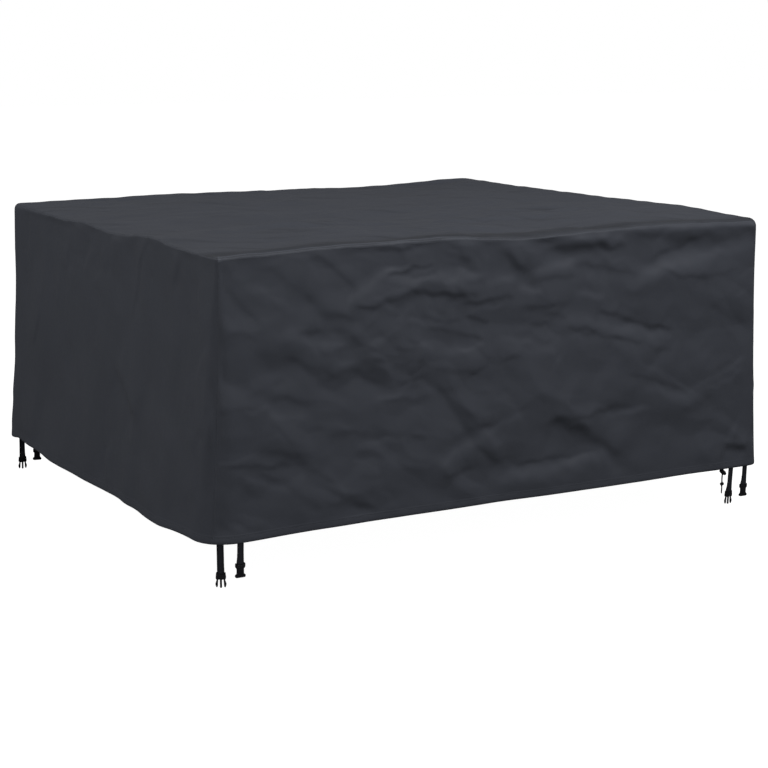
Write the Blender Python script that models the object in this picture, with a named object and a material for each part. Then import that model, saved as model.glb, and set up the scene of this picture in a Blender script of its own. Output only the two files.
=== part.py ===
"""Fitted cover for patio furniture: a top and four walls of coated cloth sewn edge to edge, a pair of
webbing straps with a side-release buckle at each bottom corner, and the free end of the hem's drawcord."""

import math
from collections import namedtuple

import bmesh
import bpy
from mathutils import Matrix, Vector

for thing in list(bpy.data.objects):
    bpy.data.objects.remove(thing, do_unlink=True)

# Driving sizes, in metres. The origin is the centre of the top's underside, -Y is the front, +Z is up.
WIDTH = 1.85
DEPTH = 1.68
HEIGHT = 0.80
CLOTH = 0.002
HEM_HEIGHT = 0.025
HEM_CLOTH = 0.0032
HEM_TOP = 1 - HEM_HEIGHT / HEIGHT
GAP = 0.0003
UP = Vector((0, 0, 1))

# ---------------------------------------------------------------- the cover's outline
# How far each corner stands from the plain box, and how wide it is rounded in plan. The rim rolls over
# from the top to the wall with the radius rim_roll.
Corner = namedtuple(
    "Corner", "side_x side_y rim_dx rim_dz rim_radius rim_roll hem_dx hem_dy hem_dz hem_radius"
)
CORNERS = {
    "front_left": Corner(-1, -1, -0.003, -0.003, 0.014, 0.007, -0.044, 0.007, 0.010, 0.100),
    "front_right": Corner(1, -1, 0.023, 0.004, 0.030, 0.026, 0.072, 0.007, -0.001, 0.040),
    "back_right": Corner(1, 1, -0.004, 0.011, 0.030, 0.014, 0.036, 0.010, 0.000, 0.060),
    "back_left": Corner(-1, 1, -0.002, 0.001, 0.026, 0.018, -0.048, 0.005, -0.013, 0.032),
}
LOOP = ("front_left", "front_right", "back_right", "back_left")
FLARE_EASE = 1.5
HALF_CORNER = math.radians(45)

# A wall runs from its left to its right end as seen from outside. Each row gives a share of its length,
# then the height that the rim stands above the plain one, and the rim's roll radius.
WALLS = ("front", "right", "back", "left")
RIM = {
    "front": ((0.05, 0.000, 0.007), (0.19, 0.007, 0.007), (0.37, 0.009, 0.008), (0.54, -0.007, 0.008),
              (0.66, 0.001, 0.010), (0.80, 0.009, 0.016)),
    "right": ((0.20, 0.014, 0.018), (0.50, 0.009, 0.014), (0.80, 0.008, 0.012)),
    "back": ((0.25, -0.003, 0.012), (0.45, 0.001, 0.010), (0.70, 0.006, 0.012), (0.88, 0.003, 0.016)),
    "left": ((0.30, -0.005, 0.010), (0.40, 0.001, 0.008), (0.55, -0.009, 0.008), (0.74, 0.009, 0.007),
             (0.86, -0.002, 0.007)),
}
# Each row gives a share of the wall's length, then how far the hem stands up and out there.
HEM = {
    "front": ((0.14, 0.015, 0.000), (0.45, 0.010, -0.003), (0.62, 0.007, 0.003), (0.82, 0.003, 0.000)),
    "right": ((0.22, 0.004, 0.010), (0.50, 0.000, -0.006), (0.75, 0.003, 0.009)),
    "back": ((0.20, 0.000, -0.005), (0.45, 0.003, 0.009), (0.70, -0.003, -0.004)),
    "left": ((0.05, -0.004, 0.000), (0.14, -0.004, 0.003), (0.28, -0.010, 0.012), (0.50, -0.007, 0.000),
             (0.68, -0.003, -0.004), (0.82, -0.001, 0.011)),
}


def smooth(x):
    x = min(max(x, 0.0), 1.0)
    return x * x * (3 - 2 * x)


def read_table(table, share, value):
    """The value-th column of the table at this share of a wall's length, eased from row to row."""
    for row, after in zip(table, table[1:]):
        if share <= after[0]:
            break
    step = smooth((share - row[0]) / (after[0] - row[0]))
    return row[value] + (after[value] - row[value]) * step


def ends(wall):
    first = WALLS.index(wall)
    return LOOP[first], LOOP[(first + 1) % 4]


def rim_row(wall, s, value):
    left, right = (CORNERS[name] for name in ends(wall))
    table = ((0, left.rim_dz, left.rim_roll), *RIM[wall], (1, right.rim_dz, right.rim_roll))
    return read_table(table, min(max(s, 0), 1), value)


def hem_row(wall, s, value):
    left, right = (CORNERS[name] for name in ends(wall))
    table = ((0, left.hem_dz, 0), *HEM[wall], (1, right.hem_dz, 0))
    return read_table(table, min(max(s, 0), 1), value)


def rim_height(wall, s):
    return CLOTH + rim_row(wall, s, 1)


def plan_corner(name, fall):
    """Where two walls would meet if they weren't rounded, at this share of the way from rim to hem."""
    corner = CORNERS[name]
    flare = fall**FLARE_EASE
    x = corner.side_x * WIDTH / 2 + corner.rim_dx + (corner.hem_dx - corner.rim_dx) * flare
    y = corner.side_y * DEPTH / 2 + corner.hem_dy * flare
    return Vector((x, y, 0))


def plan_radius(name, fall):
    corner = CORNERS[name]
    return corner.rim_radius + (corner.hem_radius - corner.rim_radius) * fall


def plan_point(wall, s, fall):
    """A point of the wall's outline and its outward direction. s runs from -1, the seam at the left corner,
    through the straight run from 0 to 1, to 2, the seam at the right corner."""
    left, right = ends(wall)
    a = plan_corner(left, fall)
    b = plan_corner(right, fall)
    radius_a = plan_radius(left, fall)
    radius_b = plan_radius(right, fall)
    run = (b - a).normalized()
    into_a = (plan_corner(LOOP[LOOP.index(left) - 1], fall) - a).normalized()
    into_b = (plan_corner(LOOP[(LOOP.index(right) + 1) % 4], fall) - b).normalized()
    turn_a = HALF_CORNER * max(-s, 0)
    turn_b = HALF_CORNER * max(s - 1, 0)
    start = a + run * radius_a * (1 - math.sin(turn_a)) + into_a * radius_a * (1 - math.cos(turn_a))
    finish = b - run * radius_b * (1 - math.sin(turn_b)) + into_b * radius_b * (1 - math.cos(turn_b))
    if s < 0:
        return start, -(into_a * math.cos(turn_a) + run * math.sin(turn_a)).normalized()
    if s > 1:
        return finish, (run * math.sin(turn_b) - into_b * math.cos(turn_b)).normalized()
    return start.lerp(finish, s), -into_a.lerp(into_b, s).normalized()


def from_seam(wall, s, fall):
    """The distance along the wall from the nearer corner seam."""
    left, right = ends(wall)
    run = (plan_corner(right, fall) - plan_corner(left, fall)).length
    arc_a = plan_radius(left, fall) * HALF_CORNER
    arc_b = plan_radius(right, fall) * HALF_CORNER
    straight = run - plan_radius(left, fall) - plan_radius(right, fall)
    if s < 0:
        return arc_a * (1 + s)
    if s > 1:
        return arc_b * (2 - s)
    return min(arc_a + straight * s, arc_b + straight * (1 - s))


# ---------------------------------------------------------------- the cloth's folds
# Lengths in metres: u along the wall from its left corner, h down from the rim. A crease has a bulge above
# it and a trough below it; a swell is a soft bump or hollow; a flute is a soft upright wave that grows
# towards the hem.
Crease = namedtuple("Crease", "u0 h0 u1 h1 half_width height")
Swell = namedtuple("Swell", "u h reach_u reach_h height")
Flute = namedtuple("Flute", "u_rim u_hem half_width height")
CREASES = {
    "front": (
        Crease(0.15, 0.050, 0.31, 0.145, 0.034, 0.0060),
        Crease(0.31, 0.030, 0.42, 0.110, 0.028, 0.0060),
        Crease(0.03, 0.088, 0.13, 0.150, 0.026, 0.0035),
        Crease(0.42, 0.170, 0.60, 0.158, 0.026, 0.0065),
        Crease(0.63, 0.143, 0.75, 0.166, 0.026, 0.0060),
        Crease(0.78, 0.194, 0.96, 0.173, 0.026, 0.0055),
        Crease(1.12, 0.038, 1.32, 0.058, 0.026, 0.0075),
        Crease(1.46, 0.105, 1.60, 0.068, 0.028, 0.0080),
        Crease(1.60, 0.066, 1.88, 0.064, 0.030, 0.0105),
        Crease(0.24, 0.309, 0.36, 0.355, 0.034, 0.0050),
        Crease(1.32, 0.265, 1.53, 0.332, 0.034, 0.0055),
        Crease(1.14, 0.560, 1.40, 0.740, 0.040, 0.0065),
        Crease(1.03, 0.669, 1.22, 0.662, 0.034, 0.0050),
        Crease(0.09, 0.562, 0.30, 0.596, 0.036, 0.0045),
        Crease(1.77, 0.715, 1.88, 0.752, 0.028, 0.0050),
    ),
    "right": (
        Crease(0.08, 0.070, 0.34, 0.105, 0.034, 0.0060),
        Crease(1.18, 0.120, 1.44, 0.080, 0.036, 0.0050),
        Crease(0.62, 0.420, 0.90, 0.470, 0.040, 0.0050),
    ),
    "back": (
        Crease(0.30, 0.090, 0.62, 0.140, 0.040, 0.0060),
        Crease(1.02, 0.150, 1.30, 0.110, 0.040, 0.0055),
        Crease(0.60, 0.520, 0.95, 0.600, 0.045, 0.0055),
        Crease(1.36, 0.420, 1.62, 0.350, 0.045, 0.0050),
    ),
    "left": (
        Crease(0.30, 0.120, 0.52, 0.170, 0.036, 0.0035),
        Crease(0.86, 0.380, 1.10, 0.430, 0.040, 0.0035),
    ),
}
SWELLS = {
    "front": (
        Swell(0.22, 0.23, 0.15, 0.07, 0.006),
        Swell(0.55, 0.28, 0.13, 0.09, 0.006),
        Swell(0.93, 0.26, 0.16, 0.07, -0.005),
        Swell(1.22, 0.16, 0.14, 0.06, 0.006),
        Swell(1.58, 0.18, 0.16, 0.08, 0.007),
        Swell(0.66, 0.47, 0.18, 0.08, -0.005),
        Swell(1.02, 0.50, 0.17, 0.10, 0.007),
        Swell(1.45, 0.47, 0.16, 0.09, 0.006),
        Swell(1.66, 0.63, 0.14, 0.08, -0.005),
        Swell(0.38, 0.68, 0.18, 0.07, 0.005),
    ),
    "right": (Swell(0.45, 0.25, 0.20, 0.12, 0.006), Swell(1.15, 0.45, 0.22, 0.14, -0.006)),
    "back": (Swell(0.40, 0.35, 0.22, 0.12, 0.007), Swell(1.20, 0.58, 0.24, 0.10, 0.006)),
    "left": (Swell(0.60, 0.30, 0.20, 0.14, 0.004), Swell(1.28, 0.42, 0.18, 0.16, -0.004)),
}
FLUTES = {
    "front": (Flute(0.50, 0.44, 0.10, 0.003), Flute(1.30, 1.36, 0.12, 0.004)),
    "right": (Flute(0.38, 0.34, 0.09, 0.008), Flute(0.92, 0.98, 0.10, 0.007),
              Flute(1.38, 1.42, 0.08, 0.006)),
    "back": (Flute(0.30, 0.26, 0.10, 0.007), Flute(0.86, 0.92, 0.11, 0.008),
             Flute(1.48, 1.46, 0.09, 0.006)),
    "left": (Flute(0.34, 0.25, 0.08, 0.006), Flute(0.78, 0.74, 0.09, 0.005), Flute(1.20, 1.10, 0.06, 0.007),
             Flute(1.44, 1.38, 0.05, 0.005)),
}
# The folds fade out this close to a corner seam, and this close under the rim.
SEAM_REACH = 0.05
RIM_REACH = 0.04


def crease_rise(row, u, h):
    du = row.u1 - row.u0
    dh = row.h1 - row.h0
    length = math.hypot(du, dh)
    along = ((u - row.u0) * du + (h - row.h0) * dh) / length
    past = max(-along, along - length, 0) / row.half_width
    below = ((h - row.h0) * du - (u - row.u0) * dh) / length / row.half_width
    return -row.height * below * math.exp(0.5 - below**2 / 2 - past**2 / 2)


def swell_rise(row, u, h):
    return row.height * math.exp(-(((u - row.u) / row.reach_u) ** 2) - ((h - row.h) / row.reach_h) ** 2)


def flute_rise(row, u, h):
    fall = h / HEIGHT
    middle = row.u_rim + (row.u_hem - row.u_rim) * fall
    return row.height * (0.25 + 0.75 * fall) * math.exp(-(((u - middle) / row.half_width) ** 2))


def folds(wall, u, h):
    rise = sum(crease_rise(row, u, h) for row in CREASES[wall])
    rise += sum(swell_rise(row, u, h) for row in SWELLS[wall])
    return rise + sum(flute_rise(row, u, h) for row in FLUTES[wall])


def wall_point(wall, s, r):
    """The outer face of a wall or of the rim, and its outward direction. r runs from 0, where the rim's
    roll ends, to 1 at the hem's edge. From 0 it runs up through -1, the seam of top and wall, to -2."""
    fall = max(r, 0)
    turn = HALF_CORNER * max(-r, 0)
    point, out = plan_point(wall, s, fall)
    rim = rim_height(wall, s)
    roll = rim_row(wall, s, 2)
    point = point - out * roll * (1 - math.cos(turn))
    if r <= 0:
        point.z = rim - roll * (1 - math.sin(turn))
        return point, out * math.cos(turn) + UP * math.sin(turn)
    hem = -HEIGHT + hem_row(wall, s, 1)
    point.z = rim - roll + (hem - rim + roll) * fall
    drop = rim - point.z
    left, right = ends(wall)
    a = plan_corner(left, fall)
    u = (point - a).dot((plan_corner(right, fall) - a).normalized())
    fade = smooth(from_seam(wall, s, fall) / SEAM_REACH)
    move = folds(wall, u, drop) * smooth((drop - roll) / RIM_REACH) + hem_row(wall, s, 2) * fall**3
    return point + out * move * fade, out


# ---------------------------------------------------------------- cloth panels
COVER_COLOR = (0.036, 0.039, 0.047, 1)
# Each wall's mesh: steps round half a corner, spans along the top panel's edge, how many times finer the
# wall's own spans are, and its rows.
ARC_STEPS = (1.0, 0.667, 0.333)
SPANS = {"front": 24, "right": 15, "back": 24, "left": 15}
FINER = {"front": 2, "right": 1, "back": 1, "left": 1}
WALL_ROWS = {"front": 19, "right": 12, "back": 10, "left": 13}
HEM_STEP = 0.004
TOP_INSET = 0.085
RIM_EASE = 4
SOFT_EDGE = 50
TOP_SWELLS = (
    Swell(-0.45, -0.35, 0.30, 0.20, 0.004),
    Swell(0.30, -0.48, 0.34, 0.16, 0.003),
    Swell(0.52, 0.22, 0.26, 0.26, 0.004),
    Swell(-0.30, 0.40, 0.36, 0.18, 0.004),
    Swell(-0.68, 0.10, 0.16, 0.30, -0.003),
    Swell(0.10, -0.66, 0.40, 0.06, -0.003),
    Swell(0.00, 0.00, 0.45, 0.35, -0.0025),
)


def material(name, color, roughness):
    made = bpy.data.materials.new(name)
    made.use_nodes = True
    shader = made.node_tree.nodes["Principled BSDF"]
    shader.inputs["Base Color"].default_value = color
    shader.inputs["Roughness"].default_value = roughness
    shader.inputs["Metallic"].default_value = 0
    return made


def columns(wall, finer=1):
    """Where a wall's upright lines run, from its left seam to its right seam."""
    count = SPANS[wall] * finer
    return [-step for step in ARC_STEPS] + [i / count for i in range(count + 1)] + [
        1 + step for step in reversed(ARC_STEPS)
    ]


def new_object(name, mesh, skin):
    mesh.materials.append(skin)
    made = bpy.data.objects.new(name, mesh)
    bpy.context.collection.objects.link(made)
    return made


def closed_sheet(name, outer, inner, faces, skin):
    """A thin solid between two like sets of points, with a narrow band round its open border."""
    count = len(outer)
    edges = {(a, b) for face in faces for a, b in zip(face, face[1:] + face[:1])}
    border = [(a, b) for a, b in edges if (b, a) not in edges]
    shell = list(faces)
    shell += [tuple(count + i for i in reversed(face)) for face in faces]
    shell += [(b, a, count + a, count + b) for a, b in sorted(border)]
    mesh = bpy.data.meshes.new(name)
    mesh.from_pydata([*outer, *inner], [], shell)
    mesh.shade_smooth()
    mesh.set_sharp_from_angle(angle=math.radians(SOFT_EDGE))
    return new_object(name, mesh, skin)


def wall_rows(wall):
    """The levels of a wall, with two close ones where the turned hem makes the cloth thicker."""
    flat_end = HEM_TOP - HEM_STEP
    count = WALL_ROWS[wall]
    return [-1, -0.5] + [flat_end * i / count for i in range(count + 1)] + [HEM_TOP, 1]


def rim_seam(wall, s, side):
    """The seam of top and wall, moved half the gap towards the top (1) or down the wall (-1)."""
    point, normal = wall_point(wall, s, -1)
    out = Vector((normal.x, normal.y, 0)).normalized()
    return point + (UP - out).normalized() * side * GAP / 2, normal


def chorded_seam(wall, s):
    """The wall's top edge, straight between the top panel's own points, so that the seam stays even."""
    count = SPANS[wall]
    if not 0 < s < 1:
        return rim_seam(wall, s, -1)
    first = min(int(s * count + 1e-6), count - 1)
    a, normal_a = rim_seam(wall, first / count, -1)
    b, normal_b = rim_seam(wall, (first + 1) / count, -1)
    share = s * count - first
    return a.lerp(b, share), normal_a.lerp(normal_b, share)


def wall_layers(wall, s, r):
    """The outer and inner faces of a wall's cloth at one point, with the hem's extra thickness."""
    point, normal = chorded_seam(wall, s) if r == -1 else wall_point(wall, s, r)
    extra = HEM_CLOTH - CLOTH if r >= HEM_TOP else 0
    if s in (-1, 2):
        side = -1 if s == 2 else 1
        flat = Vector((normal.x, normal.y, 0)).normalized()
        point = point + UP.cross(flat) * side * GAP / 2
    return point + normal * extra / 2, point - normal * (CLOTH + extra / 2)


def wall_panel(wall, skin):
    across = columns(wall, FINER[wall])
    down = wall_rows(wall)
    layers = [wall_layers(wall, s, r) for r in down for s in across]
    outer = [layer[0] for layer in layers]
    inner = [layer[1] for layer in layers]
    wide = len(across)
    faces = [
        (i * wide + j, (i + 1) * wide + j, (i + 1) * wide + j + 1, i * wide + j + 1)
        for i in range(len(down) - 1)
        for j in range(wide - 1)
    ]
    return closed_sheet(f"{wall}_panel", outer, inner, faces, skin)


def top_height(p, q):
    """The top's outer face at shares p and q of its width and depth, level with the rim all round."""
    sides = (
        ("front", p, (1 - q) ** RIM_EASE),
        ("back", 1 - p, q**RIM_EASE),
        ("right", q, p**RIM_EASE),
        ("left", 1 - q, (1 - p) ** RIM_EASE),
    )
    ahead = rim_height("front", 0) * (1 - p) + rim_height("front", 1) * p
    behind = rim_height("back", 1) * (1 - p) + rim_height("back", 0) * p
    height = ahead * (1 - q) + behind * q
    for wall, s, weight in sides:
        plain = rim_height(wall, 0) * (1 - s) + rim_height(wall, 1) * s
        height += (rim_height(wall, s) - plain) * weight
    edge = smooth(8 * min(p, 1 - p, q, 1 - q))
    x = (p - 0.5) * WIDTH
    y = (q - 0.5) * DEPTH
    return height + edge * sum(swell_rise(row, x, y) for row in TOP_SWELLS)


def top_panel(skin):
    outer = []
    inner = []
    # Three rings go up the rim's roll, from its seam with the walls.
    rings = []
    for r in (-1, -1.5, -2):
        ring = []
        for wall in WALLS:
            for s in columns(wall)[:-1]:
                point, normal = rim_seam(wall, s, 1) if r == -1 else wall_point(wall, s, r)
                ring.append(len(outer))
                outer.append(point)
                inner.append(point - normal * CLOTH)
        rings.append(ring)
    faces = []
    for low, high in zip(rings, rings[1:]):
        for i in range(len(low)):
            j = (i + 1) % len(low)
            faces.append((low[i], low[j], high[j], high[i]))
    # The flat field is a grid between four corner points set in from the rim.
    field = {
        name: plan_corner(name, 0)
        - Vector((CORNERS[name].side_x, CORNERS[name].side_y, 0)) * TOP_INSET
        for name in LOOP
    }
    wide = SPANS["front"]
    deep = SPANS["right"]
    grid = {}
    for j in range(deep + 1):
        for i in range(wide + 1):
            near = field["front_left"].lerp(field["front_right"], i / wide)
            far = field["back_left"].lerp(field["back_right"], i / wide)
            point = near.lerp(far, j / deep)
            point.z = top_height(point.x / WIDTH + 0.5, point.y / DEPTH + 0.5)
            grid[i, j] = len(outer)
            outer.append(point)
            inner.append(point - UP * CLOTH)
    for i in range(wide):
        for j in range(deep):
            faces.append((grid[i, j], grid[i + 1, j], grid[i + 1, j + 1], grid[i, j + 1]))
    # A strip joins the grid to the rim, and each rounded corner fans out from a corner of the grid.
    sides = (
        [grid[i, 0] for i in range(wide + 1)],
        [grid[wide, j] for j in range(deep + 1)],
        [grid[wide - i, deep] for i in range(wide + 1)],
        [grid[0, deep - j] for j in range(deep + 1)],
    )
    edge = rings[-1]
    start = 0
    for side in sides:
        arc = len(ARC_STEPS)
        for k in range(arc):
            faces.append((edge[start + k], edge[start + k + 1], side[0]))
        start += arc
        for k in range(len(side) - 1):
            faces.append((edge[start + k], edge[start + k + 1], side[k + 1], side[k]))
        start += len(side) - 1
        for k in range(arc):
            after = (start + k + 1) % len(edge)
            faces.append((edge[start + k], edge[after], side[-1]))
        start += arc
    return closed_sheet("top_panel", outer, inner, faces, skin)


cover_cloth = material("cover_cloth", COVER_COLOR, 0.55)
top_panel(cover_cloth)
for wall_name in WALLS:
    wall_panel(wall_name, cover_cloth)

# ---------------------------------------------------------------- straps and buckles
# Each bottom corner has a male and a female buckle on a strap of 20 mm webbing, sewn inside the hem of the
# front or back wall. In each row, offset is from the corner to the strap's middle, hang is from the hem to
# the buckle's bar, and lean turns the strap to the side.
WEBBING_WIDTH = 0.020
WEBBING = 0.0016
TAB_HEIGHT = 0.022
BAR = 0.0013
STRAP_COLOR = (0.012, 0.012, 0.014, 1)
BUCKLE_COLOR = (0.007, 0.007, 0.009, 1)
Strap = namedtuple("Strap", "place kind wall corner offset hang lean")
STRAPS = (
    Strap("front_left", "male", "front", "front_left", 0.046, 0.081, 0.0),
    Strap("front_left", "female", "front", "front_left", 0.103, 0.058, 0.6),
    Strap("front_right", "male", "front", "front_right", 0.116, 0.077, 2.5),
    Strap("front_right", "female", "front", "front_right", 0.057, 0.061, 0.8),
    Strap("back_right", "male", "back", "back_right", 0.110, 0.077, -1.0),
    Strap("back_right", "female", "back", "back_right", 0.048, 0.057, 0.5),
    Strap("back_left", "male", "back", "back_left", 0.044, 0.084, -1.5),
    Strap("back_left", "female", "back", "back_left", 0.100, 0.062, -3.0),
)
WRAP = BAR * math.sqrt(2) + GAP + WEBBING / 2
WRAP_STEPS = 6
TAIL_LENGTH = 0.028
SAG = 0.0005


def hem_seat(row):
    """The hem's bottom edge at the strap's middle, and the wall's outward direction there."""
    left, right = ends(row.wall)
    far = right if row.corner == left else left
    corner = plan_corner(row.corner, 1)
    run = (plan_corner(far, 1) - corner).normalized()
    low, high = 0.0, 1.5
    for _ in range(40):
        middle = (low + high) / 2
        s = middle - 1 if row.corner == left else 2 - middle
        point = plan_point(row.wall, s, 1)[0]
        if (point - corner).dot(run) < row.offset:
            low = middle
        else:
            high = middle
    s = low - 1 if row.corner == left else 2 - low
    return wall_point(row.wall, s, 1)


def seat_matrix(row):
    """The strap's own axes: X to the right seen from outside, Y inwards, Z up."""
    point, out = hem_seat(row)
    inwards = -out
    across = inwards.cross(UP)
    turned = Matrix((across, inwards, UP)).transposed().to_4x4()
    lean = Matrix.Rotation(math.radians(row.lean), 4, "Y")
    return Matrix.Translation(point) @ turned @ lean


def innermost(row, place, r, reach):
    """How far inwards the hem's inner face comes within reach of the strap's middle at this level."""
    local = place.inverted()
    line = [local @ wall_layers(row.wall, s, r)[1] for s in columns(row.wall, FINER[row.wall])]
    found = []
    for a, b in zip(line, line[1:]):
        if b.x < a.x:
            a, b = b, a
        if a.x > reach or b.x < -reach:
            continue
        for x in (max(a.x, -reach), min(b.x, reach)):
            found.append(a.lerp(b, (x - a.x) / (b.x - a.x)).y)
    return max(found)


def strap_path(row, place):
    """The strap's side view (inwards, up): sewn tab, fall, turn round the buckle's bar, short tail."""
    clear = GAP + WEBBING / 2
    reach = WEBBING_WIDTH / 2 + GAP
    inwards = innermost(row, place, 1, reach) + clear
    tab_lean = (innermost(row, place, HEM_TOP, reach) + clear - inwards) * TAB_HEIGHT / HEM_HEIGHT
    path = [(inwards + tab_lean, TAB_HEIGHT), (inwards, 0), (inwards + SAG, -row.hang / 2)]
    for i in range(WRAP_STEPS + 1):
        turn = math.pi * i / WRAP_STEPS
        path.append((inwards + WRAP * (1 - math.cos(turn)), -row.hang - WRAP * math.sin(turn)))
    path.append((inwards + 2 * WRAP + SAG, -row.hang + TAIL_LENGTH))
    return path


def ribbon(name, path, width, thickness, skin):
    """A flat band that follows a side view, with a square section."""
    points = [Vector((0, y, z)) for y, z in path]
    mesh = bmesh.new()
    rings = []
    for i, point in enumerate(points):
        before = points[max(i - 1, 0)]
        after = points[min(i + 1, len(points) - 1)]
        back = (point - before).normalized() if i else (after - point).normalized()
        ahead = (after - point).normalized() if i < len(points) - 1 else back
        tangent = (back + ahead).normalized()
        side = Vector((0, -tangent.z, tangent.y)) * thickness / 2 / max(tangent.dot(ahead), 0.7)
        half = Vector((width / 2, 0, 0))
        corners = (point - half - side, point + half - side, point + half + side, point - half + side)
        rings.append([mesh.verts.new(corner) for corner in corners])
    for low, high in zip(rings, rings[1:]):
        for i in range(4):
            j = (i + 1) % 4
            mesh.faces.new((low[i], low[j], high[j], high[i]))
    mesh.faces.new(rings[0])
    mesh.faces.new(reversed(rings[-1]))
    bmesh.ops.recalc_face_normals(mesh, faces=mesh.faces)
    data = bpy.data.meshes.new(name)
    mesh.to_mesh(data)
    mesh.free()
    return new_object(name, data, skin)


def plate(outlines, thickness):
    """Flat closed outlines in X and Z, each made a slab of this thickness about Y."""
    mesh = bmesh.new()
    for outline in outlines:
        front = [mesh.verts.new((x, -thickness / 2, z)) for x, z in outline]
        back = [mesh.verts.new((x, thickness / 2, z)) for x, z in outline]
        mesh.faces.new(front)
        mesh.faces.new(reversed(back))
        for i in range(len(outline)):
            j = (i + 1) % len(outline)
            mesh.faces.new((front[j], front[i], back[i], back[j]))
    bmesh.ops.recalc_face_normals(mesh, faces=mesh.faces)
    data = bpy.data.meshes.new("plate")
    mesh.to_mesh(data)
    mesh.free()
    return data


def box(low, high):
    """A box as a mesh, from its lowest and highest corners."""
    mesh = bmesh.new()
    bmesh.ops.create_cube(mesh, size=1)
    size = Vector(high) - Vector(low)
    bmesh.ops.scale(mesh, verts=mesh.verts, vec=size)
    bmesh.ops.translate(mesh, verts=mesh.verts, vec=Vector(low) + size / 2)
    data = bpy.data.meshes.new("box")
    mesh.to_mesh(data)
    mesh.free()
    return data


def combine(base, others):
    """One mesh from a base and a list of (operation, mesh), worked out in order."""
    body = bpy.data.objects.new("body", base)
    bpy.context.collection.objects.link(body)
    tools = []
    for operation, data in others:
        tool = bpy.data.objects.new("tool", data)
        tool.hide_render = True
        bpy.context.collection.objects.link(tool)
        change = body.modifiers.new(operation, "BOOLEAN")
        change.operation = operation
        change.object = tool
        tools.append(tool)
    bpy.context.view_layer.update()
    done = bpy.data.meshes.new_from_object(body.evaluated_get(bpy.context.evaluated_depsgraph_get()))
    for leftover in [body, *tools]:
        bpy.data.objects.remove(leftover, do_unlink=True)
    return done


def mirrored(outline):
    return [(-x, z) for x, z in reversed(outline)]


def frame_outline(half, top, bottom, cut):
    """A rectangle in X and Z with its four corners cut off."""
    return [
        (-half + cut, bottom), (half - cut, bottom), (half, bottom + cut), (half, top - cut),
        (half - cut, top), (-half + cut, top), (-half, top - cut), (-half, bottom + cut),
    ]


# Buckle sizes. The origin is the middle of the bar that the webbing goes round, and Z is up.
BUCKLE_WIDTH = 0.029
BUCKLE_DEPTH = 0.0068
CORNER_CUT = 0.0022
SLOT_WIDTH = 0.0212
SLOT_HEIGHT = 0.0036
MOUTH_HEIGHT = 0.0034
MALE_BODY = 0.0175
PRONG_DEPTH = MOUTH_HEIGHT - 2 * GAP
GUIDE_HALF = 0.0019
GUIDE_TIP = 0.001
PRONG_END = 0.0425
# One sprung arm, from its root down its inner side to the tip, then up past the hook: (sideways, up).
ARM_ROOT = -0.0165
ARM = (
    (0.0066, ARM_ROOT), (0.0072, -0.0240), (0.0092, -0.0300), (0.0098, -0.0370), (0.0112, -0.0408),
    (0.0130, -0.0400), (0.0146, -0.0350), (0.0149, -0.0300), (0.0128, -0.0262), (0.0106, -0.0215),
    (0.0102, ARM_ROOT),
)
FEMALE_SHOULDER = 0.0115
FEMALE_NECK = 0.0205
FEMALE_FLANGE = 0.031
FEMALE_END = 0.040
FLANGE_LIP = 0.0008
FLANGE_CUT = 0.0025
SHOULDER_SLOPE = 0.0015
SIDE_WALL = 0.0022
WINDOW_INSET = 0.0027
PAST = 0.01


def slot_cutter():
    half = SLOT_WIDTH / 2
    return box((-half, -PAST, -BAR - SLOT_HEIGHT), (half, PAST, -BAR))


def bar_cutters():
    """What thins the bar to a square rod, leaving the buckle's two sides at full depth."""
    half = SLOT_WIDTH / 2
    low = -BAR - GAP
    high = BAR + GAP
    return [
        ("DIFFERENCE", box((-half, BAR, low), (half, PAST, high))),
        ("DIFFERENCE", box((-half, -PAST, low), (half, -BAR, high))),
    ]


def male_buckle_mesh():
    """A frame with a slot and a bar, a middle guide and two sprung arms with hooked tips."""
    frame = plate([frame_outline(BUCKLE_WIDTH / 2, BAR, -MALE_BODY, CORNER_CUT)], BUCKLE_DEPTH)
    guide = [
        (-GUIDE_HALF, ARM_ROOT), (-GUIDE_HALF, GUIDE_TIP - PRONG_END), (-GUIDE_TIP, -PRONG_END),
        (GUIDE_TIP, -PRONG_END), (GUIDE_HALF, GUIDE_TIP - PRONG_END), (GUIDE_HALF, ARM_ROOT),
    ]
    prongs = plate([guide, ARM, mirrored(ARM)], PRONG_DEPTH)
    return combine(frame, [("UNION", prongs), ("DIFFERENCE", slot_cutter()), *bar_cutters()])


def female_buckle_mesh():
    """A hollow sleeve: a slotted head, a drawn-in neck with a window in each side, and a wide mouth."""
    half = BUCKLE_WIDTH / 2
    lip = half + FLANGE_LIP
    neck = FEMALE_NECK / 2
    right_side = [
        (half - SHOULDER_SLOPE, -FEMALE_END), (lip, -FEMALE_END + FLANGE_CUT),
        (lip, -FEMALE_FLANGE - FLANGE_CUT), (neck, -FEMALE_FLANGE + SHOULDER_SLOPE),
        (neck, -FEMALE_SHOULDER - SHOULDER_SLOPE), (half, -FEMALE_SHOULDER + SHOULDER_SLOPE),
        (half, BAR - CORNER_CUT), (half - CORNER_CUT, BAR),
    ]
    body = plate([right_side + mirrored(right_side)], BUCKLE_DEPTH)
    inside = neck - SIDE_WALL
    level = MOUTH_HEIGHT / 2
    mouth_top = -FEMALE_SHOULDER - SIDE_WALL
    mouth = box((-inside, -level, -FEMALE_END - PAST), (inside, level, mouth_top))
    window_low = (-half - PAST, -level, -FEMALE_FLANGE + WINDOW_INSET)
    window_high = (half + PAST, level, -FEMALE_SHOULDER - SHOULDER_SLOPE - WINDOW_INSET)
    cutters = [slot_cutter(), mouth, box(window_low, window_high)]
    return combine(body, [("DIFFERENCE", cutter) for cutter in cutters] + bar_cutters())


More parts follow.
